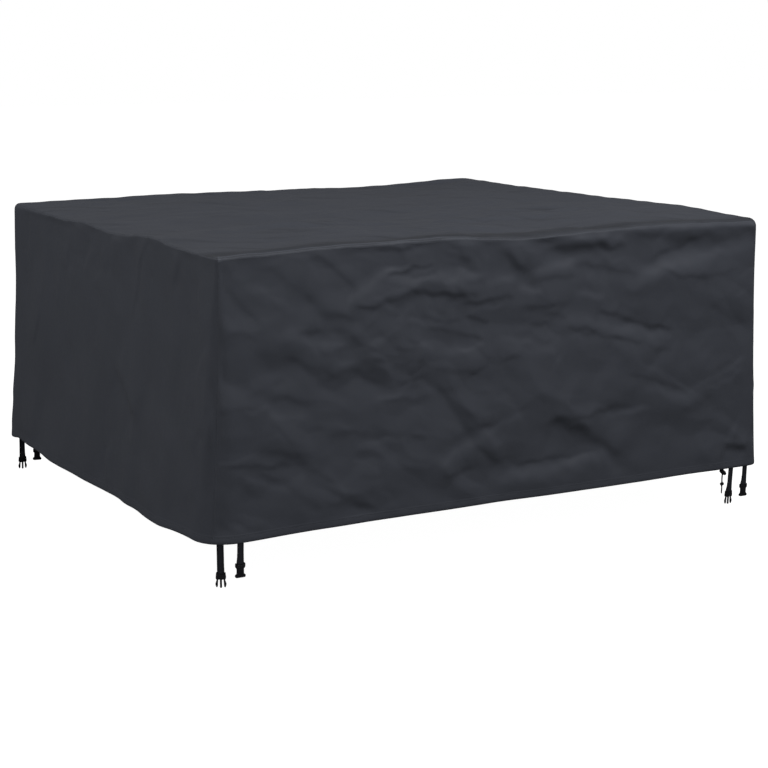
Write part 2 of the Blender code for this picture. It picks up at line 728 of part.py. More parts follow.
webbing = material("webbing", STRAP_COLOR, 0.75)
buckle_plastic = material("buckle_plastic", BUCKLE_COLOR, 0.38)
buckle_meshes = {"male": male_buckle_mesh(), "female": female_buckle_mesh()}
for data in buckle_meshes.values():
    data.materials.clear()
    data.materials.append(buckle_plastic)
for row in STRAPS:
    place = seat_matrix(row)
    path = strap_path(row, place)
    strap = ribbon(f"{row.place}_{row.kind}_strap", path, WEBBING_WIDTH, WEBBING, webbing)
    strap.matrix_world = place
    inwards = path[3][0] + WRAP  # path[3] starts the turn round the bar
    buckle = bpy.data.objects.new(f"{row.place}_{row.kind}_buckle", buckle_meshes[row.kind])
    bpy.context.collection.objects.link(buckle)
    buckle.matrix_world = place @ Matrix.Translation((0, inwards, -row.hang))

# ---------------------------------------------------------------- the drawcord's free end
# One end of the hem's drawcord comes out inside the front hem near the right corner, passes through a
# spring cord lock, and ends in a knot with a short tail.
CORD_DIAMETER = 0.0045
CORD_OFFSET = 0.142
CORD_SIDES = 12
CORD_COLOR = (0.010, 0.010, 0.012, 1)
# The route in the hem's own axes: sideways, inwards from the hem's inner face, and up from its bottom edge.
CORD_ROUTE = (
    (0.0000, 0.0000, 0.0120), (0.0000, 0.0055, 0.0118), (0.0000, 0.0098, 0.0060),
    (0.0001, 0.0100, -0.0060), (0.0001, 0.0101, -0.0190), (-0.0006, 0.0103, -0.0290),
    (-0.0008, 0.0103, -0.0390), (-0.0005, 0.0102, -0.0470),
)
LOCK_RADIUS = 0.0072
LOCK_LENGTH = 0.019
BUTTON_RADIUS = 0.0052
BUTTON_LENGTH = 0.006
BUTTON_ROOT = 0.003
LOCK_TILT = 128
LOCK_PLACE = (0.0002, 0.0100, -0.0120)
# The knot's outline: how far below its top, then its radius. The last row ends the tail.
KNOT = (
    (0.0000, 0.0026), (0.0008, 0.0048), (0.0035, 0.0058), (0.0060, 0.0050), (0.0085, 0.0056),
    (0.0108, 0.0040), (0.0118, 0.0022), (0.0240, 0.0021), (0.0370, 0.0019),
)


def spline_points(route, per_span):
    """A smooth line through the route's points, as a Catmull-Rom curve."""
    points = [Vector(p) for p in route]
    padded = [points[0] * 2 - points[1], *points, points[-1] * 2 - points[-2]]
    line = []
    for a, b, c, d in zip(padded, padded[1:], padded[2:], padded[3:]):
        for i in range(per_span):
            t = i / per_span
            square = 2 * a - 5 * b + 4 * c - d
            cube = 3 * b - a - 3 * c + d
            line.append((2 * b + (c - a) * t + square * t**2 + cube * t**3) / 2)
    return line + [points[-1]]


def cord_tube(name, line, diameter, skin):
    curve = bpy.data.curves.new(name, "CURVE")
    curve.dimensions = "3D"
    curve.bevel_depth = diameter / 2
    curve.bevel_resolution = 2
    curve.use_fill_caps = True
    spline = curve.splines.new("POLY")
    spline.points.add(len(line) - 1)
    for point, place in zip(spline.points, line):
        point.co = (*place, 1)
    return new_object(name, curve, skin)


def turned(name, profile):
    """A closed round solid about Z, from rows of (height, radius) in order along it."""
    mesh = bmesh.new()
    rings = []
    turns = [2 * math.pi * i / CORD_SIDES for i in range(CORD_SIDES)]
    for z, r in profile:
        rings.append([mesh.verts.new((r * math.cos(a), r * math.sin(a), z)) for a in turns])
    for ring, after in zip(rings, rings[1:]):
        for i in range(CORD_SIDES):
            j = (i + 1) % CORD_SIDES
            mesh.faces.new((ring[i], ring[j], after[j], after[i]))
    mesh.faces.new(rings[0])
    mesh.faces.new(rings[-1])
    bmesh.ops.recalc_face_normals(mesh, faces=mesh.faces)
    data = bpy.data.meshes.new(name)
    mesh.to_mesh(data)
    mesh.free()
    return data


def barrel(radius, low, high):
    """A round bar along Z with softened ends."""
    soft = radius * 0.22
    rows = ((low, radius - soft), (low + soft, radius), (high - soft, radius), (high, radius - soft))
    return turned("barrel", rows)


def cord_lock_mesh(centre):
    """A tilted spring barrel with its push button, and the hole that the cord passes through."""
    end = LOCK_LENGTH / 2
    body = barrel(LOCK_RADIUS, -end, end)
    button = barrel(BUTTON_RADIUS, end - BUTTON_ROOT, end + BUTTON_LENGTH)
    tilt = Matrix.Translation(centre) @ Matrix.Rotation(math.radians(LOCK_TILT), 4, "Y")
    body.transform(tilt)
    button.transform(tilt)
    hole = barrel(CORD_DIAMETER / 2 + 2 * GAP, -LOCK_LENGTH, LOCK_LENGTH)
    hole.transform(Matrix.Translation(centre))
    return combine(body, [("UNION", button), ("DIFFERENCE", hole)])


def knot_mesh(top):
    """An overhand knot pulled tight, a ball with a waist, and the short tail under it."""
    data = turned("cord_knot", [(-drop, radius) for drop, radius in KNOT])
    data.transform(Matrix.Translation(top))
    return data


cord_skin = material("cord", CORD_COLOR, 0.8)
cord_row = Strap("cord", "cord", "front", "front_right", CORD_OFFSET, 0, 0)
cord_place = seat_matrix(cord_row)
hem_bottom, hem_top = (innermost(cord_row, cord_place, r, CORD_DIAMETER / 2) for r in (1, HEM_TOP))
cord_top = CORD_ROUTE[0][2] + CORD_DIAMETER / 2
hem_inside = hem_bottom + (hem_top - hem_bottom) * cord_top / HEM_HEIGHT
shift = Vector((0, hem_inside + GAP, 0))
cord_line = spline_points([Vector(point) + shift for point in CORD_ROUTE], 2)
cord_pieces = (
    cord_tube("drawcord", cord_line, CORD_DIAMETER, cord_skin),
    new_object("cord_lock", cord_lock_mesh(Vector(LOCK_PLACE) + shift), buckle_plastic),
    new_object("cord_knot", knot_mesh(cord_line[-1] - UP * GAP), cord_skin),
)
for piece in cord_pieces:
    piece.matrix_world = cord_place
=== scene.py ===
"""A fitted cover for patio furniture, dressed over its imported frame: soft creased cloth, sewn rim, corners
and hem, webbing straps with side-release buckles, and the free end of the hem's drawcord."""

import math
from collections import namedtuple

import bmesh
import bpy
import numpy as np
from mathutils import Matrix, Vector


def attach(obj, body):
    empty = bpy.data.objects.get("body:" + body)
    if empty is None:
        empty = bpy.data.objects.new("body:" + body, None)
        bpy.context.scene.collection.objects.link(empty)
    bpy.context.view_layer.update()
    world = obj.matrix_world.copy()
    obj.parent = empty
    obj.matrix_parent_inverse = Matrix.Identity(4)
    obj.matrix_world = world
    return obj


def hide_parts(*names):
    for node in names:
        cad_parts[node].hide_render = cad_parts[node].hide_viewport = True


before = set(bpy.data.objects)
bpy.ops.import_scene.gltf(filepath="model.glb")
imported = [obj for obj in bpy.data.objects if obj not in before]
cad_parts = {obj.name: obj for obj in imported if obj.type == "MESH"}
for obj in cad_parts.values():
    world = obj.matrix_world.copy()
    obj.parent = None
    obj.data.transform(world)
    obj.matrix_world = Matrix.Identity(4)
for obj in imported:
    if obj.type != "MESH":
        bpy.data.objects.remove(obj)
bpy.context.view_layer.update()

# ---------------------------------------------------------------- camera
# The photograph's own viewpoint, low and to the left of the front, with a long lens. The turn is to the
# right of +Y, and the long side of the frame is 36 mm.
CAMERA_PLACE = (-2.7975, -4.9598, 0.5823)
CAMERA_TURN = 29.99
CAMERA_DOWN = 11.54
FRAME_WIDTH = 36
LENS = 81.04
SIGHT_END = 200


def in_scene(name, data):
    """A new object in the scene that shows the data."""
    made = bpy.data.objects.new(name, data)
    bpy.context.collection.objects.link(made)
    return made


camera_data = bpy.data.cameras.new("camera")
camera_data.sensor_width = FRAME_WIDTH
camera_data.lens = LENS
camera_data.clip_end = SIGHT_END
camera = in_scene("camera", camera_data)
camera.location = CAMERA_PLACE
camera.rotation_euler = (math.radians(90 - CAMERA_DOWN), 0, math.radians(-CAMERA_TURN))
bpy.context.scene.camera = camera
bpy.context.scene.view_settings.view_transform = "Standard"

# ---------------------------------------------------------------- drawcord
# The free end of the cord that runs in the hem: braided polyester, 4.5 mm thick. It comes out inside the
# front hem near the right corner, drops through a spring cord lock and ends in a tight overhand knot.
CORD_DIAMETER = 0.0045
CORD_SEAT = (0.85498, -0.83209, -0.80008)
CORD_YAW = 1.1643
HEM_INSIDE = 0.00415
# The route in the hem's own axes: sideways, inwards from the hem's inner face, and up from its bottom edge.
CORD_ROUTE = (
    (0.0000, 0.0000, 0.0120), (0.0000, 0.0055, 0.0118), (0.0000, 0.0098, 0.0060),
    (0.0001, 0.0100, -0.0060), (0.0001, 0.0101, -0.0190), (-0.0006, 0.0103, -0.0290),
    (-0.0008, 0.0103, -0.0390), (-0.0005, 0.0102, -0.0470),
)
CORD_SIDES = 16
STRAND_PITCH = 0.0018


class Value:
    """The output of a shader node, which takes part in sums as a number does."""

    def __init__(self, skin, socket):
        self.skin = skin
        self.socket = socket

    def math(self, operation, *others):
        inputs = {i: other for i, other in enumerate((self, *others))}
        return self.skin.node("ShaderNodeMath", {"operation": operation}, inputs)

    def __add__(self, other):
        return self.math("ADD", other)

    def __mul__(self, other):
        return self.math("MULTIPLY", other)

    def __sub__(self, other):
        return self.math("SUBTRACT", other)

    def __rsub__(self, other):
        return self * -1 + other

    __radd__ = __add__
    __rmul__ = __mul__

    def sine(self):
        return self.math("SINE")

    def size(self):
        return self.math("ABSOLUTE")


class Skin:
    """A material with its nodes. shader is the one that it ends in."""

    def __init__(self, name, roughness, specular):
        self.material = bpy.data.materials.new(name)
        self.material.use_nodes = True
        self.tree = self.material.node_tree
        self.shader = self.tree.nodes["Principled BSDF"]
        self.shader.inputs["Roughness"].default_value = roughness
        self.shader.inputs["Specular IOR Level"].default_value = specular

    def node(self, kind, settings, inputs, output=0):
        made = self.tree.nodes.new(kind)
        for setting, value in settings.items():
            if setting == "stops":
                for element, (place, color) in zip(made.color_ramp.elements, value):
                    element.position = place
                    element.color = (*color, 1)
            else:
                setattr(made, setting, value)
        for name, value in inputs.items():
            self.feed(made.inputs[name], value)
        return Value(self, made.outputs[output])

    def feed(self, socket, value):
        if isinstance(value, Value):
            self.tree.links.new(value.socket, socket)
        else:
            socket.default_value = value

    def ends_in(self, **inputs):
        for name, value in inputs.items():
            self.feed(self.shader.inputs[name.replace("_", " ")], value)

    def place(self, source):
        """Object coordinates or the piece's own UV map, in metres."""
        return self.node("ShaderNodeTexCoord", {}, {}, source)

    def noise(self, place, scale, detail=2.0, roughness=0.5):
        inputs = {"Vector": place, "Scale": scale, "Detail": detail, "Roughness": roughness}
        return self.node("ShaderNodeTexNoise", {}, inputs)

    def stretched(self, place, scale, turn=0.0):
        inputs = {"Vector": place, "Scale": scale, "Rotation": (0, 0, turn)}
        return self.node("ShaderNodeMapping", {}, inputs)

    def parts(self, place):
        split = self.node("ShaderNodeSeparateXYZ", {}, {"Vector": place})
        return split, Value(self, split.socket.node.outputs[1])

    def shades(self, value, dark, light):
        return self.node("ShaderNodeValToRGB", {"stops": ((0.0, dark), (1.0, light))}, {"Fac": value})

    def bump(self, height, distance, strength=1.0, under=None):
        inputs = {"Height": height, "Distance": distance, "Strength": strength}
        if under is not None:
            inputs["Normal"] = under
        return self.node("ShaderNodeBump", {}, inputs)


def add_piece(name, mesh, skin):
    """A finished mesh as a piece that moves with the cover."""
    mesh.materials.clear()
    mesh.materials.append(skin.material)
    piece = in_scene(name, mesh)
    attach(piece, "root")
    return piece


def grid_faces(rows, wide, first=0):
    """Quads between like rows of points that close on themselves round a tube."""
    return [
        (first + i * wide + j, first + i * wide + (j + 1) % wide,
         first + (i + 1) * wide + (j + 1) % wide, first + (i + 1) * wide + j)
        for i in range(rows - 1)
        for j in range(wide)
    ]


def smooth_line(route, per_span):
    """A smooth line through the route's points, as a Catmull-Rom curve."""
    points = [Vector(p) for p in route]
    padded = [points[0] * 2 - points[1], *points, points[-1] * 2 - points[-2]]
    line = []
    for a, b, c, d in zip(padded, padded[1:], padded[2:], padded[3:]):
        for i in range(per_span):
            t = i / per_span
            square = 2 * a - 5 * b + 4 * c - d
            cube = 3 * b - a - 3 * c + d
            line.append((2 * b + (c - a) * t + square * t**2 + cube * t**3) / 2)
    return line + [points[-1]]


def line_steps(line):
    """Each point of a line, the direction that the line has there, and its length so far."""
    run = 0.0
    for i, point in enumerate(line):
        before = line[max(i - 1, 0)]
        run += (point - before).length
        yield point, (line[min(i + 1, len(line) - 1)] - before).normalized(), run


def swept_mesh(name, points, flat, wide):
    """Rows of points, wide to a row, closed round and at both ends, with flat as the UV map."""
    faces = grid_faces(len(points) // wide, wide)
    faces += [tuple(reversed(range(wide))), tuple(range(len(points) - wide, len(points)))]
    mesh = bpy.data.meshes.new(name)
    mesh.from_pydata(points, [], faces)
    uv = mesh.uv_layers.new(name="cloth")
    for loop in mesh.loops:
        uv.data[loop.index].uv = flat[loop.vertex_index]
    mesh.shade_smooth()
    return mesh


def tube_mesh(name, line, radii, sides):
    """A round tube along a line, with (round, along) in metres as its UV map."""
    points = []
    flat = []
    side = Vector((1, 0, 0))
    for radius, (point, ahead, run) in zip(radii, line_steps(line)):
        side = (side - ahead * side.dot(ahead)).normalized()
        up = ahead.cross(side)
        for j in range(sides):
            turn = 2 * math.pi * j / sides
            points.append(point + (side * math.cos(turn) + up * math.sin(turn)) * radius)
            flat.append((turn * CORD_DIAMETER / 2, run))
    return swept_mesh(name, points, flat, sides)


cord_skin = Skin("braided_cord", roughness=0.8, specular=0.3)
braid_round, braid_along = cord_skin.parts(cord_skin.place("UV"))
STRAND_TURN = 2 * math.pi / STRAND_PITCH
braid = (braid_round * STRAND_TURN + braid_along * STRAND_TURN).sine().size()
braid = braid * (braid_round * STRAND_TURN - braid_along * STRAND_TURN).sine().size()
cord_skin.ends_in(
    Base_Color=cord_skin.shades(braid, (0.0035, 0.0035, 0.0042), (0.0120, 0.0120, 0.0150)),
    Normal=cord_skin.bump(braid, 0.0004),
)

cord_place = Matrix.Translation(CORD_SEAT) @ Matrix.Rotation(math.radians(CORD_YAW), 4, "Z")
cord_shift = Vector((0, HEM_INSIDE, 0))
cord_line = [cord_place @ (point + cord_shift) for point in smooth_line(CORD_ROUTE, per_span=5)]
cord_length = sum((b - a).length for a, b in zip(cord_line, cord_line[1:]))
cord_radii = [CORD_DIAMETER / 2] * len(cord_line)
cord_mesh = tube_mesh("drawcord_braid", cord_line, cord_radii, CORD_SIDES)
drawcord = add_piece("drawcord_braid", cord_mesh, cord_skin)
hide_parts("drawcord")

# The knot is an overhand knot drawn tight, with its short tail hanging straight down. Its points are in
# metres from the knot's middle: sideways, inwards, up. Its loop is a trefoil, open for a share at the top.
KNOT_MIDDLE = 0.0062
KNOT_SIZE = 0.00178
KNOT_SQUASH = 1.30
KNOT_STRAND = 0.0022
KNOT_DEEP = 1.1
KNOT_STEPS = 44
KNOT_OPEN = 0.04
KNOT_SPAN = 0.93
KNOT_SIDES = 12
TAIL_END = 0.037
TAIL_TAPER = 0.8
KNOT_START = ((0.0, 0.0, 0.0062), (0.0003, 0.0, 0.0052))
KNOT_TAIL = (
    (-0.0004, 0.0, -0.0060), (0.0, 0.0, -0.0110), (0.0002, 0.0001, -0.0170), (-0.0003, 0.0, -0.0240),
    (-0.0001, 0.0, KNOT_MIDDLE - TAIL_END),
)
knot_line = [*KNOT_START]
for i in range(KNOT_STEPS):
    t = 2 * math.pi * (KNOT_OPEN + KNOT_SPAN * i / (KNOT_STEPS - 1))
    x = math.sin(t) + 2 * math.sin(2 * t)
    z = math.cos(t) - 2 * math.cos(2 * t)
    y = -math.sin(3 * t)
    knot_line.append((x * KNOT_SIZE, y * KNOT_SIZE * KNOT_DEEP, z * KNOT_SIZE * KNOT_SQUASH))
knot_line = smooth_line([*knot_line, *KNOT_TAIL], per_span=2)
knot_line = [cord_line[-1] + Vector((0, 0, -KNOT_MIDDLE)) + point for point in knot_line]
knot_radii = [KNOT_STRAND] * (len(knot_line) - 1) + [KNOT_STRAND * TAIL_TAPER]
knot_mesh = tube_mesh("cord_knot_tied", knot_line, knot_radii, KNOT_SIDES)
cord_knot = add_piece("cord_knot_tied", knot_mesh, cord_skin)
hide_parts("cord_knot")

# The cord lock is a moulded barrel with a spring inside it and a push button at its lower end. The cord
# passes across it. A raised lip rings the hole on each side. Rows are (along the axis, radius).
LOCK_TILT = 128
LOCK_PLACE = (0.0002, 0.0100, -0.0120)
LOCK_BARREL = (
    (-0.0095, 0.0000), (-0.0095, 0.0052), (-0.0088, 0.0062), (-0.0078, 0.0066), (-0.0060, 0.0070),
    (-0.0056, 0.0067), (-0.0050, 0.0067), (-0.0046, 0.0071), (0.0046, 0.0071), (0.0050, 0.0067),
    (0.0056, 0.0067), (0.0060, 0.0071), (0.0084, 0.0071), (0.0093, 0.0066), (0.0095, 0.0058),
    (0.0095, 0.0053), (0.0090, 0.0052), (0.0090, 0.0050), (0.0140, 0.0050), (0.0150, 0.0044),
    (0.0155, 0.0030), (0.0156, 0.0000),
)
LOCK_SIDES = 28
LIP_DEPTH = 0.0010
LIP_PLACE = 0.0066
LOCK_LIP = ((0.0, 0.0), (0.0, 0.0034), (LIP_DEPTH, 0.0038), (LIP_DEPTH * 1.3, 0.0032), (LIP_DEPTH, 0.0))
LIP_SIDES = 20
LOCK_SHARPEST = 40


def turned_mesh(name, rows, sides):
    """A round solid about Z from rows of (height, radius), closed at its two poles."""
    points = [(0, 0, rows[0][0])]
    for z, radius in rows[1:-1]:
        for j in range(sides):
            turn = 2 * math.pi * j / sides
            points.append((radius * math.cos(turn), radius * math.sin(turn), z))
    points.append((0, 0, rows[-1][0]))
    faces = grid_faces(len(rows) - 2, sides, 1)
    last = len(points) - 1
    for j in range(sides):
        after = (j + 1) % sides
        faces.append((0, 1 + after, 1 + j))
        faces.append((last, last - sides + j, last - sides + after))
    mesh = bpy.data.meshes.new(name)
    mesh.from_pydata(points, [], faces)
    return mesh


def joined_mesh(name, meshes, sharpest):
    """Several meshes as one, each already in its place, smooth but where it turns by more than sharpest."""
    whole = bmesh.new()
    for part in meshes:
        whole.from_mesh(part)
    mesh = bpy.data.meshes.new(name)
    whole.to_mesh(mesh)
    whole.free()
    mesh.shade_smooth()
    mesh.set_sharp_from_angle(angle=math.radians(sharpest))
    return mesh


plastic_skin = Skin("moulded_plastic", roughness=0.52, specular=0.18)
plastic_place = plastic_skin.place("Object")
plastic_grain = plastic_skin.noise(plastic_place, 1400, 3.0)
plastic_worn = plastic_skin.noise(plastic_place, 90, 4.0)
plastic_skin.ends_in(
    Base_Color=plastic_skin.shades(plastic_worn, (0.0034, 0.0034, 0.0046), (0.0064, 0.0064, 0.0084)),
    Roughness=plastic_worn * 0.2 + 0.28,
    Normal=plastic_skin.bump(plastic_grain, 0.00006),
)

lock_tilt = cord_place @ Matrix.Translation(Vector(LOCK_PLACE) + cord_shift)
lock_parts = [turned_mesh("lock_barrel", LOCK_BARREL, LOCK_SIDES)]
lock_parts[0].transform(lock_tilt @ Matrix.Rotation(math.radians(LOCK_TILT), 4, "Y"))
for height in (LIP_PLACE, -LIP_PLACE - LIP_DEPTH):
    lip = turned_mesh("lock_lip", LOCK_LIP, LIP_SIDES)
    lip.transform(lock_tilt @ Matrix.Translation((0, 0, height)))
    lock_parts.append(lip)
lock_mesh = joined_mesh("cord_lock_spring", lock_parts, LOCK_SHARPEST)
cord_lock = add_piece("cord_lock_spring", lock_mesh, plastic_skin)
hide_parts("cord_lock")

# ---------------------------------------------------------------- walls
# Four walls of coated polyester, charcoal with a blue cast, sewn to the top along the rim and to each
# other at the corners. The hem is turned up twice round the drawcord. The cloth hangs in soft creases.
WIDTH = 1.85
DEPTH = 1.68
HEIGHT = 0.80
RIM_THICKNESS = 0.002
CLOTH = 0.0012
HEM_HEIGHT = 0.025
HEM_CLOTH = 0.0028
HEM_TOP = 1 - HEM_HEIGHT / HEIGHT
FLARE_EASE = 1.5
HALF_CORNER = math.radians(45)
Corner = namedtuple(
    "Corner", "side_x side_y rim_dx rim_dz rim_radius rim_roll hem_dx hem_dy hem_dz hem_radius"
)
CORNERS = {
    "front_left": Corner(-1, -1, -0.003, -0.003, 0.014, 0.007, -0.044, 0.007, 0.010, 0.100),
    "front_right": Corner(1, -1, 0.023, 0.004, 0.030, 0.026, 0.072, 0.007, -0.001, 0.040),
    "back_right": Corner(1, 1, -0.004, 0.011, 0.030, 0.014, 0.036, 0.010, 0.000, 0.060),
    "back_left": Corner(-1, 1, -0.002, 0.001, 0.026, 0.018, -0.048, 0.005, -0.013, 0.032),
}
LOOP = ("front_left", "front_right", "back_right", "back_left")
# A wall runs from its left to its right end as seen from outside. Each row gives a share of its length,
# then the height that the rim stands above the plain one, and the rim's roll radius.
WALLS = ("front", "right", "back", "left")
RIM = {
    "front": ((0.05, 0.000, 0.007), (0.19, 0.007, 0.007), (0.37, 0.009, 0.008), (0.54, -0.007, 0.008),
              (0.66, 0.001, 0.010), (0.80, 0.009, 0.016)),
    "right": ((0.20, 0.014, 0.018), (0.50, 0.009, 0.014), (0.80, 0.008, 0.012)),
    "back": ((0.25, -0.003, 0.012), (0.45, 0.001, 0.010), (0.70, 0.006, 0.012), (0.88, 0.003, 0.016)),
    "left": ((0.30, -0.005, 0.010), (0.40, 0.001, 0.008), (0.55, -0.009, 0.008), (0.74, 0.009, 0.007),
             (0.86, -0.002, 0.007)),
}
# Each row gives a share of the wall's length, then how far the hem stands up and out there.
HEM = {
    "front": ((0.14, 0.015, 0.000), (0.45, 0.010, -0.003), (0.62, 0.007, 0.003), (0.82, 0.003, 0.000)),
    "right": ((0.22, 0.004, 0.010), (0.50, 0.000, -0.006), (0.75, 0.003, 0.009)),
    "back": ((0.20, 0.000, -0.005), (0.45, 0.003, 0.009), (0.70, -0.003, -0.004)),
    "left": ((0.05, -0.004, 0.000), (0.14, -0.004, 0.003), (0.28, -0.010, 0.012), (0.50, -0.007, 0.000),
             (0.68, -0.003, -0.004), (0.82, -0.001, 0.011)),
}


def smooth(x):
    x = np.clip(x, 0, 1)
    return x * x * (3 - 2 * x)


def read_table(table, share, value):
    """The value-th column of the table at each share of a wall's length, eased from row to row."""
    rows = np.array(table, dtype=float)
    first = np.clip(np.searchsorted(rows[:, 0], share) - 1, 0, len(rows) - 2)
    step = smooth((share - rows[first, 0]) / (rows[first + 1, 0] - rows[first, 0]))
    return rows[first, value] + (rows[first + 1, value] - rows[first, value]) * step


def ends(wall):
    first = WALLS.index(wall)
    return LOOP[first], LOOP[(first + 1) % 4]


def rim_row(wall, s, value):
    left, right = (CORNERS[name] for name in ends(wall))
    table = ((0, left.rim_dz, left.rim_roll), *RIM[wall], (1, right.rim_dz, right.rim_roll))
    return read_table(table, np.clip(s, 0, 1), value)


def hem_row(wall, s, value):
    left, right = (CORNERS[name] for name in ends(wall))
    table = ((0, left.hem_dz, 0), *HEM[wall], (1, right.hem_dz, 0))
    return read_table(table, np.clip(s, 0, 1), value)


RIM_WAVER = 0.0009
# Each wave of the waver: how fast it runs along the rim, and how it is shifted from wall to wall.
RIM_WAVES = ((71, 1), (113, 2), (37, 0))


def rim_height(wall, s):
    """The rim's height, with the small unevenness of a sewn edge."""
    share = np.clip(s, 0, 1)
    waver = sum(np.sin(share * wave + shift * len(wall)) for wave, shift in RIM_WAVES)
    waver = RIM_WAVER * (waver / 2 - 0.5) * smooth(16 * share * (1 - share))
    return RIM_THICKNESS + rim_row(wall, s, 1) + waver


def unit(v):
    return v / np.linalg.norm(v, axis=-1, keepdims=True)


def plan_corner(name, fall):
    """Where two walls would meet if they weren't rounded, at each share of the way from rim to hem."""
    corner = CORNERS[name]
    flare = np.asarray(fall, dtype=float) ** FLARE_EASE
    x = corner.side_x * WIDTH / 2 + corner.rim_dx + (corner.hem_dx - corner.rim_dx) * flare
    y = corner.side_y * DEPTH / 2 + corner.hem_dy * flare
    return np.stack((x, y, np.zeros_like(x)), -1)


def plan_radius(name, fall):
    corner = CORNERS[name]
    return corner.rim_radius + (corner.hem_radius - corner.rim_radius) * fall


def plan_point(wall, s, fall):
    """The wall's outline in plan and its outward direction. s runs from -1, the seam at the left corner,
    through the straight run from 0 to 1, to 2, the seam at the right corner."""
    left, right = ends(wall)
    a = plan_corner(left, fall)
    b = plan_corner(right, fall)
    run = unit(b - a)
    into_a = unit(plan_corner(LOOP[LOOP.index(left) - 1], fall) - a)
    into_b = unit(plan_corner(LOOP[(LOOP.index(right) + 1) % 4], fall) - b)
    radius_a = plan_radius(left, fall)[..., None]
    radius_b = plan_radius(right, fall)[..., None]
    turn_a = HALF_CORNER * np.clip(-s, 0, 1)[..., None]
    turn_b = HALF_CORNER * np.clip(s - 1, 0, 1)[..., None]
    start = a + run * radius_a * (1 - np.sin(turn_a)) + into_a * radius_a * (1 - np.cos(turn_a))
    finish = b - run * radius_b * (1 - np.sin(turn_b)) + into_b * radius_b * (1 - np.cos(turn_b))
    share = np.clip(s, 0, 1)[..., None]
    point = start + (finish - start) * share
    middle = -unit(into_a + (into_b - into_a) * share)
    out_a = -unit(into_a * np.cos(turn_a) + run * np.sin(turn_a))
    out_b = unit(run * np.sin(turn_b) - into_b * np.cos(turn_b))
    out = np.where(turn_a > 0, out_a, np.where(turn_b > 0, out_b, middle))
    return point, out, a, run


def from_seam(wall, s, fall):
    """The distance along the wall from the nearer corner seam."""
    left, right = ends(wall)
    run = np.linalg.norm(plan_corner(right, fall) - plan_corner(left, fall), axis=-1)
    arc_a = plan_radius(left, fall) * HALF_CORNER
    arc_b = plan_radius(right, fall) * HALF_CORNER
    straight = run - plan_radius(left, fall) - plan_radius(right, fall)
    inside = np.minimum(arc_a + straight * s, arc_b + straight * (1 - s))
    return np.where(s < 0, arc_a * (1 + s), np.where(s > 1, arc_b * (2 - s), inside))


# The large folds are the solids' own, in millimetres: u along the wall from its left corner, h down
# from the rim. A crease has a bulge above it and a trough below it; a swell is a soft bump or hollow; a
# flute is a soft upright wave that grows towards the hem.
Crease = namedtuple("Crease", "u0 h0 u1 h1 half_width height")
Swell = namedtuple("Swell", "u h reach_u reach_h height")
Flute = namedtuple("Flute", "u_rim u_hem half_width height")
CREASES = {
    "front": (
        (150, 50, 310, 145, 34, 6), (310, 30, 420, 110, 28, 6), (30, 88, 130, 150, 26, 3.5),
        (420, 170, 600, 158, 26, 6.5), (630, 143, 750, 166, 26, 6), (780, 194, 960, 173, 26, 5.5),
        (1120, 38, 1320, 58, 26, 7.5), (1460, 105, 1600, 68, 28, 8), (1600, 66, 1880, 64, 30, 10.5),
        (240, 309, 360, 355, 34, 5), (1320, 265, 1530, 332, 34, 5.5), (1140, 560, 1400, 740, 40, 6.5),
        (1030, 669, 1220, 662, 34, 5), (90, 562, 300, 596, 36, 4.5), (1770, 715, 1880, 752, 28, 5),
    ),
    "right": (
        (80, 70, 340, 105, 34, 6), (1180, 120, 1440, 80, 36, 5), (620, 420, 900, 470, 40, 5),
    ),
    "back": (
        (300, 90, 620, 140, 40, 6), (1020, 150, 1300, 110, 40, 5.5), (600, 520, 950, 600, 45, 5.5),
        (1360, 420, 1620, 350, 45, 5),
    ),
    "left": (
        (300, 120, 520, 170, 36, 3.5), (860, 380, 1100, 430, 40, 3.5),
    ),
}
SWELLS = {
    "front": (
        (220, 230, 150, 70, 6), (550, 280, 130, 90, 6), (930, 260, 160, 70, -5),
        (1220, 160, 140, 60, 6), (1580, 180, 160, 80, 7), (660, 470, 180, 80, -5),
        (1020, 500, 170, 100, 7), (1450, 470, 160, 90, 6), (1660, 630, 140, 80, -5),
        (380, 680, 180, 70, 5),
    ),
    "right": (
        (450, 250, 200, 120, 6), (1150, 450, 220, 140, -6),
    ),
    "back": (
        (400, 350, 220, 120, 7), (1200, 580, 240, 100, 6),
    ),
    "left": (
        (600, 300, 200, 140, 4), (1280, 420, 180, 160, -4),
    ),
}
FLUTES = {
    "front": (
        (500, 440, 100, 3), (1300, 1360, 120, 4),
    ),
    "right": (
        (380, 340, 90, 8), (920, 980, 100, 7), (1380, 1420, 80, 6),
    ),
    "back": (
        (300, 260, 100, 7), (860, 920, 110, 8), (1480, 1460, 90, 6),
    ),
    "left": (
        (340, 250, 80, 6), (780, 740, 90, 5), (1200, 1100, 60, 7), (1440, 1380, 50, 5),
    ),
}
SEAM_REACH = 0.05
RIM_REACH = 0.04
# The solids' creases are as deep as the whole fold. The cloth follows them softened by this much.
CREASE_SHARE = 0.10
FLUTE_AT_RIM = 0.25


def in_metres(kind, rows):
    """Rows of millimetres as folds of that kind."""
    return [kind(*(size / 1000 for size in row)) for row in rows]


def crease_rise(row, u, h):
    du = row.u1 - row.u0
    dh = row.h1 - row.h0
    length = math.hypot(du, dh)
    along = ((u - row.u0) * du + (h - row.h0) * dh) / length
    past = np.maximum(np.maximum(-along, along - length), 0) / row.half_width
    below = ((h - row.h0) * du - (u - row.u0) * dh) / length / row.half_width
    return -row.height * below * np.exp(0.5 - below**2 / 2 - past**2 / 2)


def swell_rise(row, u, h):
    return row.height * np.exp(-(((u - row.u) / row.reach_u) ** 2) - ((h - row.h) / row.reach_h) ** 2)


